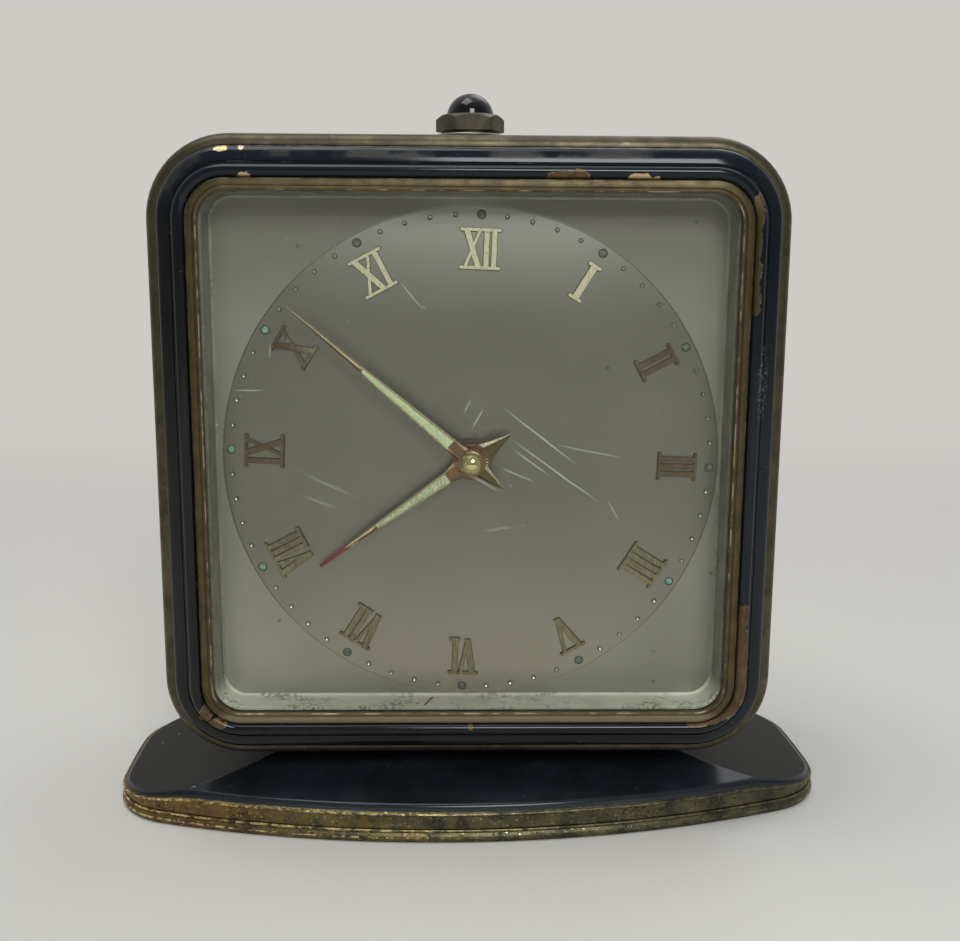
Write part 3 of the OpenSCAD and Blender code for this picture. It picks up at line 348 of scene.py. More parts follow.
def rim_lines(made):
    """Grey rubbed places on the outer rim."""
    wear_and_light = made.marks((3.2, 5, EVEN, 8), 0.55, 0.7, (0.5, 3, EVEN, 2), 0.4, 0.6)
    return wear_and_light * 0.5, (0.20, 0.19, 0.165)


def silvered_wall():
    """Silvered wall round the dial: grimy along the bottom, with painted light making it pale and creamy
    where it faces up, and painted shade making it duller at the other sides.
    """
    made = Finish("wall_silver", 0.36, 0.2)
    # painted light and shade: the upward-facing bottom gets a pale creamy colour, the sides a darker one
    low = made.z.below(20.0, 23.5)
    cloud = made.grain(3, 5, seed=1)
    grime = made.marks((4, 5, (2, 1, 1), 3), 0.48, 0.62, (0.6, 3, EVEN, 5), 0.46, 0.58)
    side = cloud.ramp(0.3, 0.7, (0.36, 0.36, 0.27), (0.28, 0.285, 0.21))
    painted_lit_cream = cloud.ramp(0.3, 0.7, (0.93, 0.94, 0.80), (0.80, 0.81, 0.66))
    proud = -DIAL_AHEAD - made.y
    hair = (made.x + 5.3 + proud * 0.35).band(0.0, 0.36)
    hair = hair * proud.between(0.1, 0.3) * proud.below(3.4, 3.6)
    colour = made.layers(side, (low, painted_lit_cream), (grime * 0.75, (0.22, 0.21, 0.13)),
                         (hair * low, (0.19, 0.085, 0.032)))
    return made.done(colour, 0.3 + cloud * 0.2, 0.35 - low * 0.3, cloud, 0.03)


def base_metal(made, rise, crest_wear_and_highlight_at):
    """Colour and gloss of the base's brass edge: copper-brown at the left end, olive and pitted elsewhere,
    and bright gold along its crests, partly from wear and partly a painted highlight strongest left of the
    middle, with painted glints.
    """
    across = made.x
    cloud = made.grain(3.5, 5, seed=1)
    fine = made.grain(0.42, 4, (1.3, 1.3, 1), seed=4)
    olive = cloud.ramp(0.35, 0.65, (0.145, 0.13, 0.068), (0.058, 0.057, 0.038))
    copper = cloud.ramp(0.35, 0.65, (0.24, 0.13, 0.052), (0.13, 0.075, 0.035))
    left = (across + (cloud - 0.5) * 14.0).below(-38.0, -22.0)
    ochre = across.below(-8.0, 6.0) * made.grain(1.6, 4, seed=6).between(0.45, 0.6)
    pits = fine.between(0.56, 0.66) * made.grain(5, 3, seed=9).between(0.36, 0.56)
    # bright crests: brass rubbed bright, with a painted highlight that is strongest left of the middle of the
    # front
    shine = reduce(or_, [rise.band(level, width, 0.8) for level, width in crest_wear_and_highlight_at])
    patchy = made.grain(0.9, 5, (1.6, 1, 1), seed=5, rough=0.7).between(0.47, 0.57)
    gold = shine * patchy * (0.16 + across.below(-14, 2) * 0.84)
    # painted glints: small bright specks, fewer on the right
    glint_flecks = made.grain(0.3, 3, (1.6, 1, 1), seed=8).between(0.62, 0.68) * (1.0 - across.between(0, 40) * 0.6)
    gold = gold | (glint_flecks * 0.6)
    colour = made.layers(olive, (left * 0.85, copper), (ochre * 0.6, (0.24, 0.175, 0.055)),
                         (pits * 0.85, (0.016, 0.015, 0.011)), (gold * 0.9, (0.88, 0.72, 0.33)))
    return colour, 0.42 + pits * 0.25 - gold * 0.22, pits, fine


def base_cover_finish():
    """The base's lacquer: glossy on the crown, rubbed through to brass on the lower part of its wall, with a
    painted pale reflection along the front of its shoulder.
    """
    made, cloud, fine, gloss = lacquered("base_lacquer", 0.16, (0.010, 0.0135, 0.017),
                                         (0.019, 0.025, 0.033), 0.32)
    rise = made.node("Attribute", {"attribute_name": "rise"}, {}, "Fac")
    metal_colour, metal_rough, pits, grit = base_metal(made, rise, [(4.42, 0.22)])
    paint = (rise + (made.grain(1.5, 4, seed=12) - 0.5) * 0.5).between(4.62, 4.78)
    hair = made.marks((0.22, 3, (14, 1, 1), 15), 0.68, 0.76, (5, 2, EVEN, 16), 0.5, 0.6)
    nicks = made.patches(made.ragged(0.7, 0.5), [
        ((-41.0, 6.4), (1.3, 0.45), 30), ((-39.6, 6.8), (0.9, 0.3), 0), ((33.0, 9.2), (0.9, 0.4), -35),
        ((33.6, 8.8), (0.35, 0.35), 0)]).between(0.1, 0.5) * made.grain(0.3, 3, seed=18).between(0.5, 0.56)
    dust = made.specks(1.7, 0.25)
    # painted reflection: a pale blue-grey band low on the front of the painted shoulder stands for the bright
    # room it reflects
    middle = abs(made.x).below(22.0, 34.0)
    gloss = made.layers(gloss, ((hair * 0.25) | (dust * 0.45), (0.10, 0.11, 0.11)),
                        (rise.below(5.1, 5.5) * middle * 0.8, (0.034, 0.043, 0.041)),
                        (nicks, (0.6, 0.62, 0.6)))
    bare = 1.0 - paint
    rough = paint * (0.14 + cloud * 0.08 + (dust | hair | nicks) * 0.3) + bare * metal_rough
    height = (fine * 0.05) * paint + (grit * 0.5 - pits) * bare + paint * 0.6
    return made.done(made.mix(paint, metal_colour, gloss), rough, bare * 0.85, height, 0.035)


def base_edge_finish():
    """Brass of the ring, bright along two lines of wear and painted highlight."""
    made = Finish("edge_brass", 0.4, 0.85)
    colour, rough, pits, grit = base_metal(made, made.z, [(1.86, 0.22), (0.9, 0.2)])
    return made.done(colour, rough, 0.9 - pits * 0.5, grit * 0.5 - pits, 0.035)


def facet_satin():
    """Satin dark grey of the two end facets, with soft smears and small pale specks."""
    made = Finish("facet_grey", 0.4, 0.0, 0.07)
    cloud = made.grain(7, 4, (1, 2, 1), seed=3)
    smear = made.grain(2.0, 4, (1, 5, 1), seed=6)
    fine = made.grain(0.18, 3)
    colour = cloud.ramp(0.3, 0.7, (0.012, 0.0125, 0.0117), (0.018, 0.0185, 0.0172))
    colour = made.layers(colour, (smear.between(0.6, 0.75) * 0.4, (0.011, 0.011, 0.0105)),
                         (made.specks(2.2, 0.18), (0.25, 0.24, 0.22)))
    return made.done(colour, 0.34 + cloud * 0.1 + (fine - 0.5) * 0.12, height=fine, depth_mm=0.006)


def plain_metal(name, colour, roughness, stretch=(1, 1, 8), metallic=1.0):
    """Turned or drawn metal with a fine directional grain."""
    made = Finish(name, roughness, metallic)
    lines = made.grain(0.35, 3, stretch)
    cloud = made.grain(5, 3)
    darker = tuple(part * 0.72 for part in colour)
    return made.done(made.mix(cloud.between(0.3, 0.75) * 0.7, colour, darker),
                     roughness + (lines - 0.5) * 0.12, height=lines, depth_mm=0.012)


def dial_silver(name, pale, deep, roughness, painted_disc_light):
    """Satin silvered dial with a fine grain, faint clouds and small dark specks. With the disc's painted
    light it is painted paler towards top and bottom, as on the pressed disc; without, it gets painted shade
    at the top and painted light at the left."""
    made = Finish(name, roughness, 0.8)
    cloud = made.grain(16, 3)
    fine = made.grain(0.16, 2)
    speck = (made.specks(4.0, 0.12, seed=0.4) | (made.specks(2.0, 0.06, seed=0.7) * 0.6)) * 0.7
    upright = made.z - CASE_MID
    across = abs(made.x).between(10.0, 34.0)
    high = upright.between(17.0, 35.0)
    low = upright.below(-34.0, -6.0)
    colour = cloud.ramp(0.3, 0.7, pale, deep)
    # painted light: paler towards the top and the bottom of the disc
    if painted_disc_light:
        colour = made.layers(colour, (high * (1.0 - across * 0.5) * 0.85, (0.50, 0.50, 0.455)),
                             (low * (1.0 - across * 0.3) * 0.6, (0.50, 0.455, 0.37)))
    else:
        # painted shade at the top of the plate's corners and painted light at their left
        left = made.x.below(-38.0, -12.0)
        colour = made.layers(colour, (high * 0.8, (0.20, 0.19, 0.165)),
                             (left * (0.1 + low * 0.35), (0.62, 0.61, 0.53)))
    colour = made.mix(speck * 0.7, colour, (0.07, 0.06, 0.045))
    return made.done(colour, roughness + (fine - 0.5) * 0.12 + cloud * 0.05, height=fine, depth_mm=0.006)


def numeral_gilt():
    """Gilding of the numerals: bright gold towards the top of the dial, olive below and brown at the sides.
    """
    made = Finish("numeral_gilt", 0.34, 0.6)
    across = abs(made.x)
    height = made.z - CASE_MID
    cloud = made.grain(0.9, 5, seed=1)
    brush = made.grain(0.3, 3, (1, 1, 5), seed=3)
    bright = brush.ramp(0.3, 0.7, (0.97, 0.93, 0.66), (0.80, 0.75, 0.49))
    olive = brush.ramp(0.35, 0.65, (0.30, 0.27, 0.145), (0.20, 0.175, 0.09))
    brown = brush.ramp(0.35, 0.65, (0.17, 0.125, 0.06), (0.11, 0.08, 0.04))
    side = across.between(18.0, 27.0) * (height + 4.0).between(-14.0, 0.0)
    spots = made.grain(0.35, 4, seed=6).between(0.6, 0.7)
    colour = made.layers(olive, ((height + (cloud - 0.5) * 6.0).between(12.0, 23.0), bright), (side, brown),
                         (spots * 0.6, (0.06, 0.045, 0.02)))
    return made.done(colour, 0.28 + brush * 0.14 + spots * 0.2, height=brush - spots, depth_mm=0.02)


def domed_glass():
    """Clear glass: see-through, with gloss that grows towards its edges, hair scratches and dust."""
    made = Finish("domed_glass", 0.04)
    made.shader.inputs["Base Color"].default_value = (0.82, 0.82, 0.78, 1)
    gloss = made.node("Fresnel", {}, {"IOR": 1.36})
    scratches = made.patches(made.ragged(2.5, 0.12), [
        ((9.6, 60.0), (7.2, 0.08), -38), ((12.0, 55.0), (8.4, 0.08), -36), ((1.0, 62.5), (1.7, 0.08), 60),
        ((-0.4, 64.2), (1.2, 0.07), 62), ((8.4, 56.4), (3.6, 0.06), -36), ((6.5, 54.7), (3.2, 0.06), -22),
        ((2.0, 53.5), (2.6, 0.07), -30), ((16.4, 57.9), (5.4, 0.055), -12), ((-8.0, 79.0), (2.6, 0.06), -50),
        ((-19.5, 53.0), (4.5, 0.06), -24), ((-21.0, 50.6), (3.2, 0.06), -20), ((4.0, 47.0), (2.4, 0.06), 8),
        ((20.0, 49.5), (2.0, 0.06), -60), ((-30.5, 66.0), (2.2, 0.06), 0), ((-27.4, 71.5), (1.4, 0.07), 88),
    ])
    hair = made.marks((0.1, 2, (30, 1, 1), 6), 0.76, 0.8, (6, 2, EVEN, 8), 0.5, 0.62)
    dust = made.specks(1.7, 0.14, seed=0.2)
    marks = (scratches.between(0.0, 0.4) * 0.42) | (hair * 0.2) | (dust * 0.45)
    clear = made.node("BsdfTransparent", {}, {"Color": (0.975, 0.98, 0.965, 1)})
    return made.blend(gloss * 0.8 + marks, first=clear)


def night_paint(name, pale, deep, stretch=(1, 1, 1)):
    """Grainy luminous paint, uneven in its slot."""
    made = Finish(name, 0.7)
    lumps = made.grain(0.4, 4, stretch)
    return made.done(lumps.ramp(0.35, 0.65, pale, deep), height=lumps, depth_mm=0.08)


def hour_dot_paint():
    """Paint of the hour dots: still turquoise at four of them, faded to grey-green at the others."""
    made = Finish("dot_paint", 0.6)
    lumps = made.grain(0.4, 4)
    turns = [radians(30 * hour + DIAL_TURN) for hour in (4, 8, 9, 10)]
    middle = Vector((DIAL_RIGHT, CASE_MID - DIAL_DROP))
    spots = [(middle + MARKS_R * Vector((sin(turn), cos(turn))), (2.0, 2.0)) for turn in turns]
    kept = made.patches(made.place, spots).between(0.05, 0.3)
    fresh = lumps.ramp(0.35, 0.65, (0.30, 0.58, 0.44), (0.17, 0.36, 0.27))
    faded = lumps.ramp(0.35, 0.65, (0.22, 0.26, 0.20), (0.11, 0.14, 0.11))
    return made.done(made.mix(kept, faded, fresh), height=lumps, depth_mm=0.05)


def button_black():
    """Polished black of the button."""
    made = Finish("button_black", 0.06, specular=0.42)
    cloud = made.grain(2.0)
    return made.done(made.mix(cloud, (0.0022, 0.0022, 0.003), (0.006, 0.006, 0.007)),
                     0.05 + made.grain(0.6, 4).between(0.55, 0.75) * 0.12)


lacquer = case_lacquer()
bezel_black = bezel_lacquer()
base_black = base_cover_finish()
facet_grey = facet_satin()
ring_brass = base_edge_finish()
rim_bronze = aged_brass("rim_bronze", (0.112, 0.095, 0.055), (0.07, 0.062, 0.04), (0.02, 0.017, 0.013),
                        0.4, 2.6, 0.6, rim_lines)
frame_brass = aged_brass("window_brass", (0.115, 0.088, 0.038), (0.075, 0.06, 0.028), (0.026, 0.02, 0.011),
                         0.4, 2.2, 0.7, frame_lines, 0.7)
wall_silver = silvered_wall()
silver = dial_silver("satin_silver", (0.245, 0.238, 0.195), (0.222, 0.216, 0.176), 0.33, True)
corner_silver = dial_silver("corner_silver", (0.37, 0.37, 0.31), (0.33, 0.33, 0.275), 0.42, False)
glass = domed_glass()
gilt = numeral_gilt()
gilt_shade = aged_brass("numeral_edge", (0.05, 0.04, 0.02), (0.03, 0.024, 0.013), (0.012, 0.01, 0.006),
                        0.5, 0.8, 0.5, metallic=0.3)
gold = plain_metal("hand_gold", (0.95, 0.86, 0.55), 0.26, metallic=0.65)
olive = plain_metal("hand_olive", (0.15, 0.125, 0.05), 0.3)
copper = plain_metal("hand_copper", (0.26, 0.145, 0.075), 0.34, metallic=0.8)
ball_brass = plain_metal("polished_ball", (0.95, 0.82, 0.42), 0.12, metallic=0.85)
lume_pale = night_paint("lume_pale", (0.80, 0.92, 0.58), (0.62, 0.76, 0.44))
lume_streaked = night_paint("lume_streaked", (0.82, 0.90, 0.66), (0.34, 0.42, 0.20), (0.5, 0.5, 0.5))
dot_paint = hour_dot_paint()
dot_rim = plain_metal("dot_rim", (0.13, 0.13, 0.10), 0.4, (1, 1, 1), 0.6)
mark_metal = plain_metal("mark_metal", (0.75, 0.73, 0.64), 0.12)
red_tip = night_paint("red_tip", (0.36, 0.03, 0.025), (0.20, 0.02, 0.018))
nut_bronze = aged_brass("nut_bronze", (0.105, 0.088, 0.058), (0.068, 0.057, 0.04), (0.018, 0.015, 0.011),
                        0.42, 1.8, 0.7, metallic=0.6)
black_gloss = button_black()
washer_metal = plain_metal("washer_metal", (0.36, 0.335, 0.27), 0.4)
steel = plain_metal("plain_steel", (0.42, 0.43, 0.45), 0.34)
works_brass = plain_metal("works_brass", (0.62, 0.47, 0.20), 0.3)
cover_brass = aged_brass("cover_brass", (0.42, 0.33, 0.16), (0.31, 0.25, 0.125), (0.10, 0.08, 0.045),
                         0.34, 9, 0.4)
iron = plain_metal("cast_iron", (0.06, 0.06, 0.062), 0.6, (1, 1, 1), 0.6)
knob_brass = aged_brass("knob_brass", (0.56, 0.44, 0.20), (0.42, 0.33, 0.15), (0.14, 0.11, 0.05),
                        0.26, 2.5, 0.4)


# Shapes
def arc(centre, radius, low, high, steps):
    """Points on an arc of a section, from angle low to high in degrees."""
    turns = [radians(low + (high - low) * step / steps) for step in range(steps + 1)]
    return [(centre[0] + radius * cos(turn), centre[1] + radius * sin(turn)) for turn in turns]


def outline(work, points, closed=True):
    verts = [work.verts.new(point) for point in points]
    edges = [work.edges.new(pair) for pair in zip(verts, verts[1:])]
    if closed:
        edges.append(work.edges.new((verts[-1], verts[0])))
    return verts + edges


def verts_of(geometry):
    return [part for part in geometry if isinstance(part, bmesh.types.BMVert)]


def edges_of(geometry):
    return [part for part in geometry if isinstance(part, bmesh.types.BMEdge)]


def spin(work, chain, angle=0.0, steps=1, centre=(0, 0, 0), **more):
    """Spins a chain about an upright axis, or moves it by dvec; returns its last copy."""
    return bmesh.ops.spin(work, geom=chain, cent=centre, axis=(0, 0, 1), angle=radians(angle),
                          steps=steps, **more)["geom_last"]


def turn_shape(work, turn):
    bmesh.ops.rotate(work, cent=(0, 0, 0), matrix=about_z(turn, 3), verts=work.verts)


def everything(work):
    return work.verts[:] + work.edges[:] + work.faces[:]


def seal(work):
    bmesh.ops.remove_doubles(work, verts=work.verts, dist=0.0005)
    bmesh.ops.recalc_face_normals(work, faces=work.faces)
    return work


def square_moulding(section, closed=True, side_steps=1, corner_steps=14):
    """Runs a section round the square case. Section points are (half size, height)."""
    work = bmesh.new()
    chain = outline(work, [(half, -CORNER, height) for half, height in section], closed)
    for side in range(4):
        turned = about_z(90 * side, 3)
        chain = spin(work, chain, steps=side_steps, dvec=turned @ Vector((0, 2 * CORNER / side_steps, 0)))
        chain = spin(work, chain, 90, corner_steps, turned @ Vector((CORNER, CORNER, 0)))
    return seal(work)


def turned_shape(section, steps=64):
    """A turned shape: a section of (radius, height) points spun round the Z axis."""
    work = bmesh.new()
    chain = outline(work, [(radius, 0, height) for radius, height in section], closed=False)
    spin(work, chain, 360, steps, use_merge=True)
    return seal(work)


def thicken_down(work, thickness):
    """Gives an open sheet a thickness below its upper side."""
    bmesh.ops.recalc_face_normals(work, faces=work.faces)
    if sum(face.normal.z for face in work.faces) < 0:
        bmesh.ops.reverse_faces(work, faces=work.faces)
    bmesh.ops.solidify(work, geom=work.faces[:], thickness=thickness)
    bmesh.ops.recalc_face_normals(work, faces=work.faces)
    return work


def close_in(work, rim, shares, height):
    """Adds rings to a loop of edges, scaled by each share in turn; height(x, y) lifts their points."""
    before = 1.0
    for share in shares:
        grown = bmesh.ops.extrude_edge_only(work, edges=rim)["geom"]
        ring = verts_of(grown)
        for vert in ring:
            vert.co.x *= share / before
            vert.co.y *= share / before
            vert.co.z = height(vert.co.x, vert.co.y)
        members = set(ring)
        rim = [edge for edge in edges_of(grown) if set(edge.verts) <= members]
        before = share
    return rim, ring


def slice_off(work, point, slope, turn=0.0):
    """Cuts off what lies above a plane through a point, which falls away by slope, and closes the cut."""
    normal = Vector((sin(slope) * cos(turn), sin(slope) * sin(turn), cos(slope)))
    cut = bmesh.ops.bisect_plane(work, geom=everything(work), plane_co=point, plane_no=normal,
                                 clear_outer=True)
    return bmesh.ops.contextual_create(work, geom=edges_of(cut["geom_cut"]))["faces"]


def join(*shapes):
    whole = bmesh.new()
    for shape in shapes:
        part = bpy.data.meshes.new("part")
        shape.to_mesh(part)
        shape.free()
        whole.from_mesh(part)
        bpy.data.meshes.remove(part)
    return whole


def block(work, low, high, taper=0.0):
    """A block between two corners; its top is drawn in by taper on all sides."""
    made = bmesh.ops.create_cube(work, size=1.0)["verts"]
    for vert in made:
        inset = taper if vert.co.z > 0 else 0.0
        for way in range(3):
            side = high[way] if vert.co[way] > 0 else low[way]
            pull = 0.0 if way == 2 else (-inset if vert.co[way] > 0 else inset)
            vert.co[way] = side + pull
    return made


def make_piece(name, work, place, finishes, body, nodes=(), crease=32, sharp=()):
    """Puts a finished shape in its place on the clock and hangs it on its body."""
    bmesh.ops.transform(work, matrix=place, verts=work.verts)
    for face in work.faces:
        face.smooth = True
    for edge in work.edges:
        edge.smooth = edge.calc_face_angle(0.0) < radians(crease)
    for edge in sharp:
        edge.smooth = False
    mesh = bpy.data.meshes.new(name)
    work.to_mesh(mesh)
    work.free()
    for finish in finishes if isinstance(finishes, (list, tuple)) else [finishes]:
        mesh.materials.append(finish.material)
    piece = stand(name, mesh)
    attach(piece, body)
    if nodes:
        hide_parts(*nodes)
    return piece


def repaint(finish, *names):
    for name in names:
        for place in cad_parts[name].material_slots:
            place.material = finish.material


# Base
BASE_HALF = 55.4
BASE_DEEP = 25.0
BOW = 145.0
END_BOW = 250.0
BASE_CORNER = 11.8
CROWN_TOP = 9.6
CROWN_R = 77.64
FACET_FROM = 24.4
FACET_SLOPE = radians(11.4)
SHOULDER_IN = 23.81
SHOULDER_TOP = 5.86
WALL_FOOT = 2.1
SHEET_THICK = 0.6


def crown(x, y, most=BASE_DEEP):
    """Height of the cover: highest along its middle and falling towards the bowed edges."""
    inside = BOW - BASE_DEEP
    out = max(0.0, min(hypot(x, abs(y) + inside) - inside, most))
    return CROWN_TOP - CROWN_R + sqrt(CROWN_R ** 2 - out ** 2)


def facet_height(x):
    return CROWN_TOP - (abs(x) - FACET_FROM) * tan(FACET_SLOPE)


def run_round_base(section, closed=True):
    """Runs a section round the base's outline. Section points are (outward, height)."""
    work = bmesh.new()
    front = Vector((0, BASE_DEEP - BOW))
    end = Vector((BASE_HALF - END_BOW, 0))
    meets = intersect_sphere_sphere_2d(end, END_BOW - BASE_CORNER, front, BOW - BASE_CORNER)
    corner = max(meets, key=lambda point: point.y)
    first = degrees(atan2(*(corner - end).yx))
    second = degrees(atan2(*(corner - front).yx))
    chain = outline(work, [(BASE_HALF + out, 0, height) for out, height in section], closed)
    for centre, angle, steps in ((end, first, 10), (corner, second - first, 14), (front, 90 - second, 28)):
        chain = spin(work, chain, angle, steps, (*centre, 0))
    for way in "XY":
        bmesh.ops.mirror(work, geom=everything(work), axis=way, merge_dist=0.001)
    return seal(work)


def base_cover():
    """Cover of the base: stepped wall, rounded shoulder, crowned top and two flat end facets."""
    wall = [(-0.6, 2.08), (-0.44, 2.16), (-0.44, 4.05), (-0.32, 4.15), (-0.17, 4.27), (-0.13, 4.4),
            (-0.2, 4.53), (-0.42, 4.64), (-0.56, 4.76)]
    shoulder = arc((-1.5, 5.0), 0.92, -4, 70, 9)
    work = run_round_base(wall + shoulder, closed=False)
    rise = work.verts.layers.float.new("rise")
    for vert in work.verts:
        vert[rise] = vert.co.z
        top = min(crown(vert.co.x, vert.co.y, SHOULDER_IN), facet_height(vert.co.x) - 0.02)
        vert.co.z = WALL_FOOT + (vert.co.z - WALL_FOOT) * (top - WALL_FOOT) / (SHOULDER_TOP - WALL_FOOT)
    rim = [edge for edge in work.edges if edge.is_boundary and min(vert[rise] for vert in edge.verts) > 5.5]
    shares = (0.985, 0.96, 0.93, 0.9, 0.86, 0.8, 0.72, 0.62, 0.5, 0.36, 0.2, 0.07)
    ring = close_in(work, rim, shares, crown)[1]
    bmesh.ops.pointmerge(work, verts=ring, merge_co=(0, 0, CROWN_TOP))
    for side in (1, -1):
        for face in slice_off(work, Vector((FACET_FROM * side, 0, CROWN_TOP)), FACET_SLOPE * side):
            face.material_index = 1
    ridge = [edge for edge in work.edges if len({face.material_index for face in edge.link_faces}) == 2
             and all(abs(crown(*vert.co.xy) - facet_height(vert.co.x)) < 0.12 for vert in edge.verts)]
    bmesh.ops.bevel(work, geom=ridge, offset=0.16, segments=2, profile=0.5, affect="EDGES", material=0)
    bmesh.ops.recalc_face_normals(work, faces=work.faces)
    for vert in work.verts:
        if crown(*vert.co.xy, SHOULDER_IN) - vert.co.z < 0.02 or vert.co.z > 5.95:
            vert[rise] = 9.0
    return work


cover_shape = base_cover()
facet_rims = {edge for face in cover_shape.faces if face.material_index == 1 for edge in face.edges}
cover = make_piece("base_shell", cover_shape, base_frame, [base_black, facet_grey], "base", ["base_cover"],
                   sharp=facet_rims)
sheet = cover.modifiers.new("Sheet", "SOLIDIFY")
sheet.thickness = SHEET_THICK * MM
sheet.offset = -1

ring_section = ([(-2.0, 0.05), (-0.5, 0.0), (-0.32, 0.12)] + arc((-0.62, 0.85), 0.62, -50, 50, 7)
                + [(-0.34, 1.5), (-0.3, 1.62)] + arc((-0.38, 1.82), 0.22, -40, 60, 4)
                + [(-0.6, 2.06), (-2.0, 2.06)])
ring = run_round_base(ring_section)
make_piece("base_edge", ring, base_frame, ring_brass, "base", ["base_ring"])

# Case front
def front_piece(name, section, finish, replaced):
    make_piece(name, square_moulding(section), case_face, finish, "case", [replaced])


rim_section = ([(42.3, 0.96), (44.68, 0.96)] + arc((43.1, 1.08), 1.6, 0, 90, 12) + [(43.0, 2.5), (42.3, 2.5)])
front_piece("outer_rim", rim_section, rim_bronze, "case_rim")

band_section = ([(42.98, 2.7), (42.96, 3.15), (42.86, 3.6), (42.6, 4.02), (42.2, 4.28), (41.6, 4.52),
                 (41.0, 4.74), (40.84, 4.76), (40.74, 4.66), (40.42, 4.62)]
                + arc((39.52, 5.3), 0.86, 190, 0, 12)
                + [(38.7, 4.6), (38.7, 2.7), (39.3, 2.7), (39.3, 4.0), (40.8, 3.8), (42.1, 2.7)])
front_piece("bezel_bands", band_section, bezel_black, "bezel_moulding")

frame_section = [(38.65, 2.7), (38.65, 5.3), (38.56, 5.55), (38.3, 5.7), (37.8, 5.78), (37.6, 5.8),
                 (37.53, 5.74), (37.46, 5.82), (37.2, 5.92), (37.0, 5.88), (36.88, 5.74), (36.87, 5.15),
                 (37.9, 5.15), (37.9, 2.7)]
front_piece("window_edge", frame_section, frame_brass, "window_frame")

wall_section = ([(36.7, 4.04), (36.62, 3.92), (36.62, -0.1)] + arc((36.34, -0.12), 0.28, 0, -90, 5)
                + [(36.2, -0.42), (37.1, -0.42), (37.1, 4.04)])
front_piece("dial_wall", wall_section, wall_silver, "dial_surround")


GLASS_HALF = 36.57
GLASS_EDGE = 5.1
GLASS_RISE = 3.4
GLASS_THICK = 0.95


def pillow_height(x, y):
    across, along = (max(0.0, 1 - (part / GLASS_HALF) ** 2) for part in (x, y))
    return GLASS_EDGE + GLASS_RISE * across * along


def pillow_glass():
    """Domed glass: rounded square rings, lifted in the middle, with a real thickness."""
    work = square_moulding([(37.85, GLASS_EDGE)], False, 16, 8)
    shares = [0.985, 0.968, 0.95, 0.93] + [0.9 - 0.05 * step for step in range(18)]
    ring = close_in(work, work.edges[:], shares, pillow_height)[1]
    bmesh.ops.pointmerge(work, verts=ring, merge_co=(0, 0, pillow_height(0, 0)))
    return thicken_down(work, GLASS_THICK)


make_piece("domed_glass", pillow_glass(), case_face, glass, "case", ["crystal"], 60)

# Dial
DISC_R = 35.7
ROLL_FROM = 16.0
ROLL_DEEP = 0.34
EDGE_DEEP = 0.08
EDGE_WIDE = 0.12
DIAL_THICK = 0.2
HOLE_R = 2.7


def dial_height(radius):
    """Height of the pressed dial: highest in the middle, rolling down to a crisp edge."""
    roll = max(0.0, min(radius, DISC_R) - ROLL_FROM) / (DISC_R - ROLL_FROM)
    return -ROLL_DEEP * roll ** 2.4 - EDGE_DEEP * min(1.0, max(0.0, (radius - DISC_R) / EDGE_WIDE))


def pressed_dial():
    """Square plate with a round pressed middle. The plate's corners have their own duller finish."""
    work = bmesh.new()
    bmesh.ops.create_circle(work, segments=160, radius=HOLE_R)
    radii = (6, 12, 18, 22, 26, 29, 31, 33, 34.5, 35.4, DISC_R, DISC_R + EDGE_WIDE, DISC_R + 0.2)
    rim = close_in(work, work.edges[:], [radius / HOLE_R for radius in radii],
                   lambda x, y: dial_height(hypot(x, y)))[0]
    plate = bmesh.ops.create_grid(work, x_segments=1, y_segments=1, size=40.0)["verts"]
    for vert in plate:
        vert.co += Vector((-DIAL_RIGHT, DIAL_DROP, dial_height(40)))
    corners = set(plate)
    middle = [face for face in work.faces if set(face.verts) <= corners]
    bmesh.ops.delete(work, geom=middle, context="FACES_ONLY")
    sides = [edge for edge in work.edges if set(edge.verts) <= corners]
    bmesh.ops.subdivide_edges(work, edges=sides, cuts=39)
    sides = [edge for edge in work.edges if edge.is_wire]
    for face in bmesh.ops.bridge_loops(work, edges=rim + sides)["faces"]:
        face.material_index = 1
    return thicken_down(work, DIAL_THICK)


make_piece("pressed_dial", pressed_dial(), dial_face, [silver, corner_silver], "case", ["dial_plate"],
           30)

NUMERAL_TOP = 32.75
NUMERAL_H = 5.75
numerals = [("XII", 5.4), ("I", 1.7), ("II", 2.9), ("III", 3.65), ("IIII", 4.6), ("V", 3.6), ("VI", 4.0),
            ("VII", 4.7), ("VIII", 5.55), ("IX", 4.4), ("X", 3.7), ("XI", 4.7)]
glyph_room = {"I": 1.1, "V": 2.6, "X": 2.85}
FLARE = 0.15
THICK_STROKE = 0.86
THIN_STROKE = 0.5
THICK_HIGH = 0.4
THIN_HIGH = 0.38
BAR = 0.62
BAR_HIGH = 0.37
SUNK = -0.4


def stroke(work, low_x, high_x, width, top):
    """One stroke of a numeral, upright or leaning, with sloping sides."""
    for vert in bmesh.ops.create_cube(work, size=1.0)["verts"]:
        rise = 1.0 if vert.co.y > 0 else 0.0
        half = width / 2 + (0.0 if vert.co.z > 0 else FLARE)
        vert.co.x = low_x + (high_x - low_x) * rise + copysign(half, vert.co.x)
        vert.co.y = NUMERAL_H * rise - (FLARE if rise else -FLARE)
        vert.co.z = top if vert.co.z > 0 else SUNK


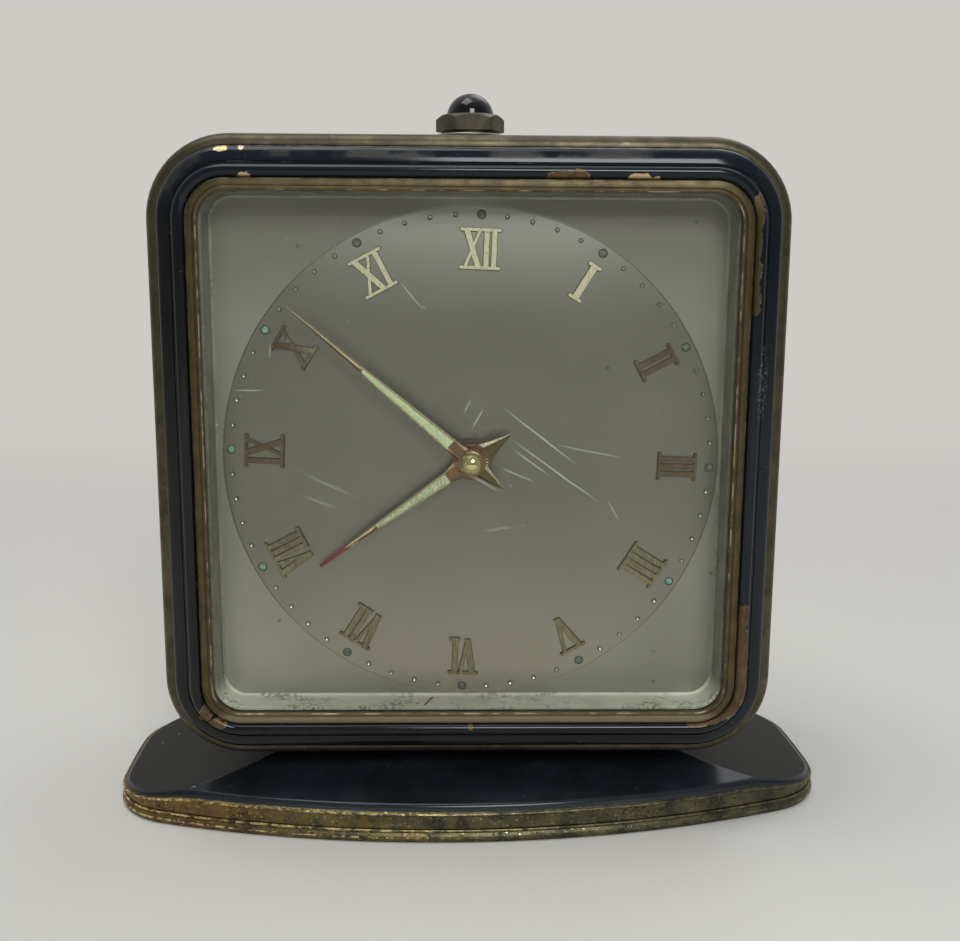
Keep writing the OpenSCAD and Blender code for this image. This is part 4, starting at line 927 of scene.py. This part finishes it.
def cut_numeral(glyphs, width):
    """A numeral of raised strokes between serif bars; a V ends in a point without a lower bar."""
    work = bmesh.new()
    fitted = (width - 0.4) / sum(glyph_room[glyph] for glyph in glyphs)
    here = -width / 2 + 0.2
    for glyph in glyphs:
        wide = fitted * glyph_room[glyph]
        past = here + wide
        middle = here + wide / 2
        if glyph == "I":
            stroke(work, middle, middle, 1.0 if glyphs == "I" else min(0.74, wide * 0.68), THICK_HIGH)
        if glyph == "V":
            stroke(work, middle + 0.05, here + 0.42, THICK_STROKE, THICK_HIGH)
            stroke(work, middle, past - 0.28, THIN_STROKE, THIN_HIGH)
        if glyph == "X":
            stroke(work, past - 0.48, here + 0.48, THICK_STROKE, THICK_HIGH)
            stroke(work, here + 0.34, past - 0.34, THIN_STROKE, THIN_HIGH)
        if glyph != "V":
            block(work, (here - 0.22, -0.12, SUNK), (past + 0.22, BAR, BAR_HIGH), 0.14)
        here = past
    side = width / 2
    block(work, (-side - 0.05, NUMERAL_H - BAR, SUNK), (side + 0.05, NUMERAL_H + 0.12, BAR_HIGH), 0.14)
    for end, glyph in ((-1, glyphs[0]), (1, glyphs[-1])):
        for height in [NUMERAL_H - 0.25] + [0.25] * (glyph != "V"):
            knob = bmesh.ops.create_cone(work, cap_ends=True, segments=12, depth=0.74,
                                         radius1=0.44, radius2=0.27)["verts"]
            bmesh.ops.translate(work, vec=(end * (side - 0.05), height, 0.0), verts=knob)
    work.normal_update()
    for face in work.faces:
        face.material_index = 0 if face.normal.z > 0.9 else 1
    return work


def all_numerals():
    done = []
    for hour, (glyphs, width) in enumerate(numerals):
        one = cut_numeral(glyphs, width)
        for vert in one.verts:
            vert.co.y += NUMERAL_TOP - NUMERAL_H
            vert.co.z += dial_height(Vector((vert.co.x, vert.co.y)).length)
        turn_shape(one, -30 * hour)
        done.append(one)
    return join(*done)


gilt_numerals = make_piece("gilt_numerals", all_numerals(), turned_dial, [gilt, gilt_shade], "case",
                           ["hour_numerals"], 20)
soft = gilt_numerals.modifiers.new("Soft edges", "BEVEL")
soft.width = 0.03 * MM
soft.segments = 2
soft.limit_method = "ANGLE"


def round_dial(section, radius, angles, steps):
    """Small turned marks set round the dial at the given angles."""
    done = []
    for angle in angles:
        one = turned_shape(section, steps)
        bmesh.ops.translate(one, vec=(0, radius, dial_height(radius)), verts=one.verts)
        turn_shape(one, -angle)
        done.append(one)
    return join(*done)


hours = [30 * hour for hour in range(12)]
minutes = [6 * minute for minute in range(60) if minute % 5]
dot_section = [(0.0, 0.16), (0.25, 0.15), (0.42, 0.1), (0.5, 0.0), (0.5, -0.1)]
edge_section = [(0.5, -0.1), (0.5, 0.07), (0.56, 0.12), (0.64, 0.08), (0.68, 0.0), (0.68, -0.1)]
cup_section = [(0.0, -0.02), (0.1, 0.0), (0.2, 0.06), (0.25, 0.09)]
lip_section = [(0.24, -0.05), (0.24, 0.09), (0.31, 0.09), (0.37, 0.02), (0.37, -0.1)]
for name, section, angles, steps, finish, replaced, slot in (
        ("hour_paint", dot_section, hours, 20, dot_paint, ["hour_dots"], "lume"),
        ("dot_edges", edge_section, hours, 20, dot_rim, (), "lume"),
        ("minute_cups", cup_section, minutes, 12, mark_metal, (), "dial_silver"),
        ("minute_lips", lip_section, minutes, 12, dot_rim, (), "dial_silver")):
    make_piece(name, round_dial(section, MARKS_R, angles, steps), turned_dial, finish, "case", replaced)


# Hands
def hand_blade(stations, lume_from, lume_to):
    """A hand's blade. Each station is (distance, half width, rim share, sink, ridge height): within the
    rim's share of the half width the face sinks, so that it holds the paint."""
    work = bmesh.new()
    chain = None
    before = None
    for far, half, share, sink, ridge in stations:
        points = [(-half, 0.0), (-half * (1 + share) / 2, ridge), (-half * share, ridge - sink),
                  (half * share, ridge - sink), (half * (1 + share) / 2, ridge), (half, 0.0), (half, -0.08),
                  (-half, -0.08)]
        if chain is None:
            chain = outline(work, [(x, far, z) for x, z in points])
            bmesh.ops.contextual_create(work, geom=edges_of(chain))
        else:
            chain = spin(work, chain, dvec=(0, far - before, 0))
            for vert, (x, z) in zip(verts_of(chain), points):
                vert.co = (x, far, z)
        before = far
    bmesh.ops.contextual_create(work, geom=edges_of(chain))
    seal(work)
    paint_blade(work, stations, lume_from, lume_to)
    return work


def paint_blade(work, stations, lume_from, lume_to):
    """Bright gold along one edge as a painted highlight and darker along the other as painted shade, an olive
    floor and tail, and a copper-brown part between the paint and the hub; along the needle the copper-brown
    half is painted shade."""
    for face in work.faces:
        middle = face.calc_center_median()
        near, past = [pair for pair in zip(stations, stations[1:]) if pair[0][0] <= middle.y + 0.001][-1]
        share = (middle.y - near[0]) / (past[0] - near[0])
        half = near[1] + (past[1] - near[1]) * share
        place = middle.x / half
        if middle.y < -1.0:
            face.material_index = 0 if place > 0.7 else 1
        elif middle.y < lume_from:
            face.material_index = 0 if place > 0.7 else 2
        elif middle.y < lume_to:
            face.material_index = 1 if abs(place) < (near[2] + past[2]) / 2 else 0
        else:
            # painted highlight on one half of the needle and painted shade on the other
            face.material_index = 0 if place > 0.0 else 2


def seat_hand(name, work, level, angle, finishes, body, nodes):
    place = dial_face @ Matrix.Translation((0, 0, level)) @ about_z(-angle)
    make_piece(name, work, place, finishes, body, nodes, 25)


def all_copper(work):
    for face in work.faces:
        face.material_index = 2
    return work


def pleated_collar(radius, bore, height):
    """A round collar with fine radial pleats."""
    work = bmesh.new()
    bmesh.ops.create_circle(work, segments=64, radius=bore)
    close_in(work, work.edges[:], [radius / bore], lambda x, y: 0.0)
    work.verts.ensure_lookup_table()
    for vert in work.verts:
        turn = round(atan2(vert.co.y, vert.co.x) / radians(360 / 64))
        vert.co.z = height + (0.08 if turn % 2 else 0.0)
    bmesh.ops.recalc_face_normals(work, faces=work.faces)
    return all_copper(work)


def hub_disc(radius, bore, low, high):
    """A turned disc with a fine raised ring at its edge."""
    work = turned_shape([(bore, low), (radius, low), (radius + 0.05, (low + high) / 2), (radius, high),
                         (radius - 0.22, high + 0.02), (radius - 0.3, high - 0.06), (bore, high - 0.06),
                         (bore, low)], 48)
    return all_copper(work)


minute_stations = [(-5.9, 0.06, 0.1, 0.0, 0.1), (-3.4, 0.72, 0.1, 0.0, 0.24), (-1.6, 1.15, 0.1, 0.0, 0.26),
                   (0.0, 1.3, 0.1, 0.0, 0.28), (1.6, 1.15, 0.3, 0.0, 0.28), (3.0, 1.0, 0.5, 0.04, 0.28),
                   (3.9, 0.95, 0.66, 0.14, 0.28), (4.6, 0.95, 0.68, 0.14, 0.28),
                   (12.0, 0.72, 0.64, 0.14, 0.28), (20.0, 0.42, 0.5, 0.12, 0.28),
                   (20.8, 0.38, 0.1, 0.0, 0.28), (26.0, 0.27, 0.08, 0.0, 0.22), (33.8, 0.1, 0.1, 0.0, 0.1)]
hour_stations = [(-6.9, 0.06, 0.1, 0.0, 0.1), (-4.0, 0.85, 0.1, 0.0, 0.2), (-1.9, 1.5, 0.1, 0.0, 0.22),
                 (0.0, 1.7, 0.1, 0.0, 0.22), (1.6, 1.5, 0.3, 0.0, 0.24), (3.0, 1.15, 0.5, 0.06, 0.28),
                 (4.1, 0.92, 0.66, 0.14, 0.28), (10.0, 0.74, 0.62, 0.14, 0.28), (16.6, 0.44, 0.5, 0.12, 0.28),
                 (17.4, 0.4, 0.1, 0.0, 0.28), (22.2, 0.14, 0.1, 0.0, 0.1)]
MINUTE_LEVEL = 3.2
MINUTE_ANGLE = 310.2
HOUR_LEVEL = 2.2
HOUR_ANGLE = 235
ALARM_LEVEL = 1.3
ALARM_ANGLE = 234.5
CAP_LEVEL = 4.2
# gold serves as a painted highlight on one edge of each hand, copper partly as painted shade on the needle's
# other half
hand_finishes = [gold, olive, copper]
minute_shape = join(hand_blade(minute_stations, 3.9, 20.2), hub_disc(2.0, 0.6, 0.0, 0.24))
seat_hand("minute_blade", minute_shape, MINUTE_LEVEL, MINUTE_ANGLE, hand_finishes, "minute", ["minute_hand"])
hour_shape = join(hand_blade(hour_stations, 4.1, 16.8), hub_disc(2.55, 1.7, 0.0, 0.22),
                  pleated_collar(2.35, 1.75, 0.24))
seat_hand("hour_blade", hour_shape, HOUR_LEVEL, HOUR_ANGLE, hand_finishes, "hour", ["hour_hand"])


def lume_fill(near, near_half, far, far_half):
    """Paint in a hand's slot, slightly crowned."""
    work = bmesh.new()
    bmesh.ops.create_grid(work, x_segments=4, y_segments=24, size=1.0)
    for vert in work.verts:
        along = (vert.co.y + 1) / 2
        half = near_half + (far_half - near_half) * along
        crown_up = 0.07 * (1 - vert.co.x ** 2)
        vert.co = (vert.co.x * half, near + (far - near) * along, 0.16 + crown_up)
    return work


seat_hand("minute_paint", lume_fill(4.0, 0.64, 20.1, 0.2), MINUTE_LEVEL, MINUTE_ANGLE, lume_pale, "minute",
          ["minute_lume"])
seat_hand("hour_paint_strip", lume_fill(4.2, 0.6, 16.6, 0.2), HOUR_LEVEL, HOUR_ANGLE, lume_streaked, "hour",
          ["hour_lume"])

pointer = bmesh.new()
block(pointer, (-0.3, 0, -0.02), (0.3, 21.8, 0.22), 0.1)
red_end = block(pointer, (-0.27, 21.8, -0.02), (0.27, 27.0, 0.24), 0.07)
for face in {face for vert in red_end for face in vert.link_faces}:
    face.material_index = 3
seat_hand("alarm_blade", join(pointer, hub_disc(2.85, 2.3, 0.0, 0.22)), ALARM_LEVEL, ALARM_ANGLE,
          hand_finishes + [red_tip], "alarm_pointer", ["alarm_hand"])
ball = turned_shape([(1.2, -0.72), (1.6, -0.72), (1.66, -0.66), (1.6, -0.6)]
                    + arc((0, 0), 1.79, -18, 90, 24), 48)
cap_place = dial_face @ Matrix.Translation((0, 0, CAP_LEVEL))
make_piece("ball_cap", ball, cap_place, ball_brass, "minute", ["hand_cap"])


# Button on the top of the case
NUT_FLATS = 8.65
NUT_LOW = 102.1
NUT_TOP = 104.4
NUT_ROUND = 4.15
CUP_R = 3.5
CUP_FLOOR = 102.3
STEM_BORE = 2.1
BUTTON_R = 3.43


def hex_nut():
    """Hexagonal bushing: corners rounded off above, a well for the button and a bore for its stem."""
    work = bmesh.new()
    flats = bmesh.ops.create_circle(work, segments=6, radius=NUT_FLATS / sqrt(3), cap_ends=True)
    bmesh.ops.translate(work, vec=(0, 0, NUT_LOW), verts=flats["verts"])
    up = bmesh.ops.extrude_face_region(work, geom=work.faces[:])["geom"]
    bmesh.ops.translate(work, vec=(0, 0, NUT_TOP - NUT_LOW), verts=verts_of(up))
    turn_shape(work, 34)
    bmesh.ops.recalc_face_normals(work, faces=work.faces)
    slope = atan(0.65 / 0.84)
    for step in range(24):
        turn = radians(15 * step + 4)
        lean = Vector((cos(turn), sin(turn), 0))
        slice_off(work, lean * NUT_ROUND + Vector((0, 0, NUT_TOP)), slope, turn)
    sharp = [edge for edge in work.edges if edge.is_manifold and edge.calc_face_angle() > radians(50)
             and abs(edge.verts[0].co.z - edge.verts[1].co.z) > 1]
    bmesh.ops.bevel(work, geom=sharp, offset=0.08, segments=2, profile=0.5, affect="EDGES", material=-1)
    ends = [face for face in work.faces if abs(face.normal.z) > 0.99 and face.calc_area() > 20]
    bmesh.ops.delete(work, geom=ends, context="FACES_ONLY")
    well = [(CUP_R, NUT_TOP), (CUP_R, CUP_FLOOR), (STEM_BORE, CUP_FLOOR), (STEM_BORE, NUT_LOW)]
    chain = outline(work, [(radius, 0, height) for radius, height in well], closed=False)
    spin(work, chain, 360, 48)
    bmesh.ops.remove_doubles(work, verts=work.verts, dist=0.0005)
    rims = [edge for edge in work.edges if edge.is_boundary]
    for level in (NUT_TOP, NUT_LOW):
        loops = [edge for edge in rims if all(abs(vert.co.z - level) < 0.01 for vert in edge.verts)]
        bmesh.ops.triangle_fill(work, edges=loops, use_beauty=True, normal=(0, 0, 1))
    bmesh.ops.recalc_face_normals(work, faces=work.faces)
    return work


def flat_ring(bore, radius, low, high, ease):
    """A turned ring with eased edges."""
    return turned_shape([(bore, low), (radius - ease, low), (radius, low + ease), (radius, high - ease),
                         (radius - ease, high), (bore, high), (bore, low)], 64)


collar = flat_ring(2.2, 4.0, 101.62, 102.14, 0.06)
button_seat = turned_shape([(3.45, 104.2), (3.5, 104.42), (3.75, 104.45), (3.98, 104.4), (4.02, 104.3)])
nut = join(hex_nut(), collar, button_seat)
make_piece("hex_head", nut, button_frame, nut_bronze, "case", ["hex_bushing"], 20)
washer = join(flat_ring(2.96, 4.6, 100.4, 101.3, 0.05), flat_ring(2.96, 5.3, 101.25, 101.6, 0.1))
make_piece("seat_washer", washer, button_frame, washer_metal, "case", ["button_washer"])
dome = turned_shape([(0.0, 92.0), (1.3, 92.0), (1.4, 92.1), (1.4, 104.9), (2.45, 104.9), (2.45, 103.9),
                     (3.35, 103.9), (BUTTON_R, 104.0)] + arc((0, 104.08), BUTTON_R, 0, 90, 24), 64)
make_piece("dome_button", dome, button_frame, black_gloss, "button", ["alarm_button"])

# Carried pieces of the drawing
repaint(lacquer, "case_band")
repaint(nut_bronze, "swivel_collar")
repaint(cover_brass, "rear_cover")
repaint(knob_brass, "time_knob", "alarm_set_knob", "going_key", "alarm_key")
repaint(iron, "base_weight")
repaint(steel, "base_plate", "swivel_bolt", "swivel_nut", "cover_screws", "corner_posts", "plate_pillars",
        "button_spring", "hairspring", "strike_post", "centre_arbor", "alarm_set_arbor", "pallet_lever",
        "regulator_lever", "going_arbor", "going_click", "alarm_arbor", "alarm_click", "hammer")
repaint(works_brass, "bushing_nut", "front_plate", "back_plate", "hour_wheel", "minute_wheel", "alarm_wheel",
        "centre_wheel", "second_wheel", "third_wheel", "fourth_wheel", "escape_wheel", "balance_wheel",
        "going_barrel", "alarm_barrel", "alarm_escape")

# Floor and backdrop: one pale sweep, whose far part shows its own colour to the camera
BACKGROUND = (0.617, 0.591, 0.565)
sweep = bmesh.new()
bend = [(-3, 1.0 + y, 0.5 + z) for y, z in arc((0, 0), 0.5, -75, 0, 10)]
chain = outline(sweep, [(-3, -3, 0), (-3, 1.0, 0)] + bend + [(-3, 1.5, 3.0)], closed=False)
spin(sweep, chain, dvec=(6, 0, 0))
bmesh.ops.recalc_face_normals(sweep, faces=sweep.faces)
pale = Finish("pale_floor", 0.9, specular=0.2)
pale.done(pale.mix(pale.grain(60, 3), (0.72, 0.70, 0.655), (0.69, 0.67, 0.625)))
rays = ("Is Camera Ray", "Is Glossy Ray", "Is Transmission Ray")
seen = reduce(or_, [pale.node("LightPath", output=ray) for ray in rays])
far = pale.y.between(60.0, 420.0) | pale.z.between(5.0, 60.0)
pale.blend(seen * far, second=pale.node("Emission", {}, {"Color": (*BACKGROUND, 1), "Strength": 1.0}))
floor_mesh = bpy.data.meshes.new("floor")
sweep.to_mesh(floor_mesh)
sweep.free()
floor_mesh.shade_smooth()
floor_mesh.materials.append(pale.material)
floor_piece = stand("floor", floor_mesh)


# Light: a soft room, bright above and behind and dim in front, and three lamps
def build_room():
    world = bpy.data.worlds.new("room")
    bpy.context.scene.world = world
    room = Web(world)
    way = {0: room.node("TexCoord", output="Generated")}
    sky = room.node("ValToRGB", {}, {0: room.node("SeparateXYZ", {}, way, "Z")})
    levels = [(0.0, (0.50, 0.49, 0.47)), (0.6, (0.66, 0.66, 0.66)), (0.84, (0.80, 0.82, 0.85)),
              (0.97, (1.25, 1.32, 1.42))]
    ramp = sky.socket.node.color_ramp
    ramp.interpolation = "EASE"
    while len(ramp.elements) < len(levels):
        ramp.elements.new(0.5)
    for element, (position, colour) in zip(ramp.elements, levels):
        element.position = position
        element.color = (*colour, 1)
    front = room.node("MapRange", {"interpolation_type": "SMOOTHSTEP"},
                      {"Value": room.node("SeparateXYZ", {}, way, "Y"), "From Min": 0.55, "From Max": -0.45,
                       "To Min": 1.0, "To Max": 0.36})
    dimmed = room.mix(1.0, sky, front, "MULTIPLY")
    seen_directly = room.node("LightPath", output="Is Camera Ray")
    room.end("Background", "Color", room.mix(seen_directly, dimmed, BACKGROUND))


def lamp(name, place, aim_height, size, watts, colour):
    light = bpy.data.lights.new(name, "AREA")
    light.energy = watts
    light.size = size
    light.color = colour
    made = stand(name, light)
    made.location = place
    made.rotation_euler = (Vector((0, 0, aim_height)) - Vector(place)).to_track_quat("-Z", "Y").to_euler()


build_room()
lamp("key", (0.10, -0.60, 0.46), 0.06, 0.24, 2.0, (0.96, 0.98, 1.0))
lamp("overhead", (-0.15, -0.1, 0.8), 0.05, 0.4, 1.6, (1, 0.99, 0.96))
lamp("rear", (0.25, 0.45, 0.7), 0.05, 0.4, 0.8, (0.9, 0.95, 1.0))

# Camera at the photograph's angle
CAMERA_AWAY = 0.169126
FOCAL_PIXELS = 1166.957
IMAGE_WIDTH = 960
SENSOR = 36
azimuth = radians(-1.1774)
elevation = radians(10.2853)
roll = radians(0.3196)
target = Vector((DIAL_RIGHT + 1.2293, -DIAL_AHEAD, CASE_MID - DIAL_DROP - 1.7155)) * MM
away = Vector((sin(azimuth) * cos(elevation), -cos(azimuth) * cos(elevation), sin(elevation)))
camera_data = bpy.data.cameras.new("camera")
camera_data.sensor_width = SENSOR
camera_data.lens = SENSOR * FOCAL_PIXELS / IMAGE_WIDTH
camera_data.clip_start = 0.01
camera = stand("camera", camera_data)
camera.rotation_mode = "QUATERNION"
camera.rotation_quaternion = (-away).to_track_quat("-Z", "Y") @ Matrix.Rotation(roll, 4, "Z").to_quaternion()
camera.location = target + away * CAMERA_AWAY
bpy.context.scene.camera = camera
bpy.context.scene.view_settings.view_transform = "Standard"
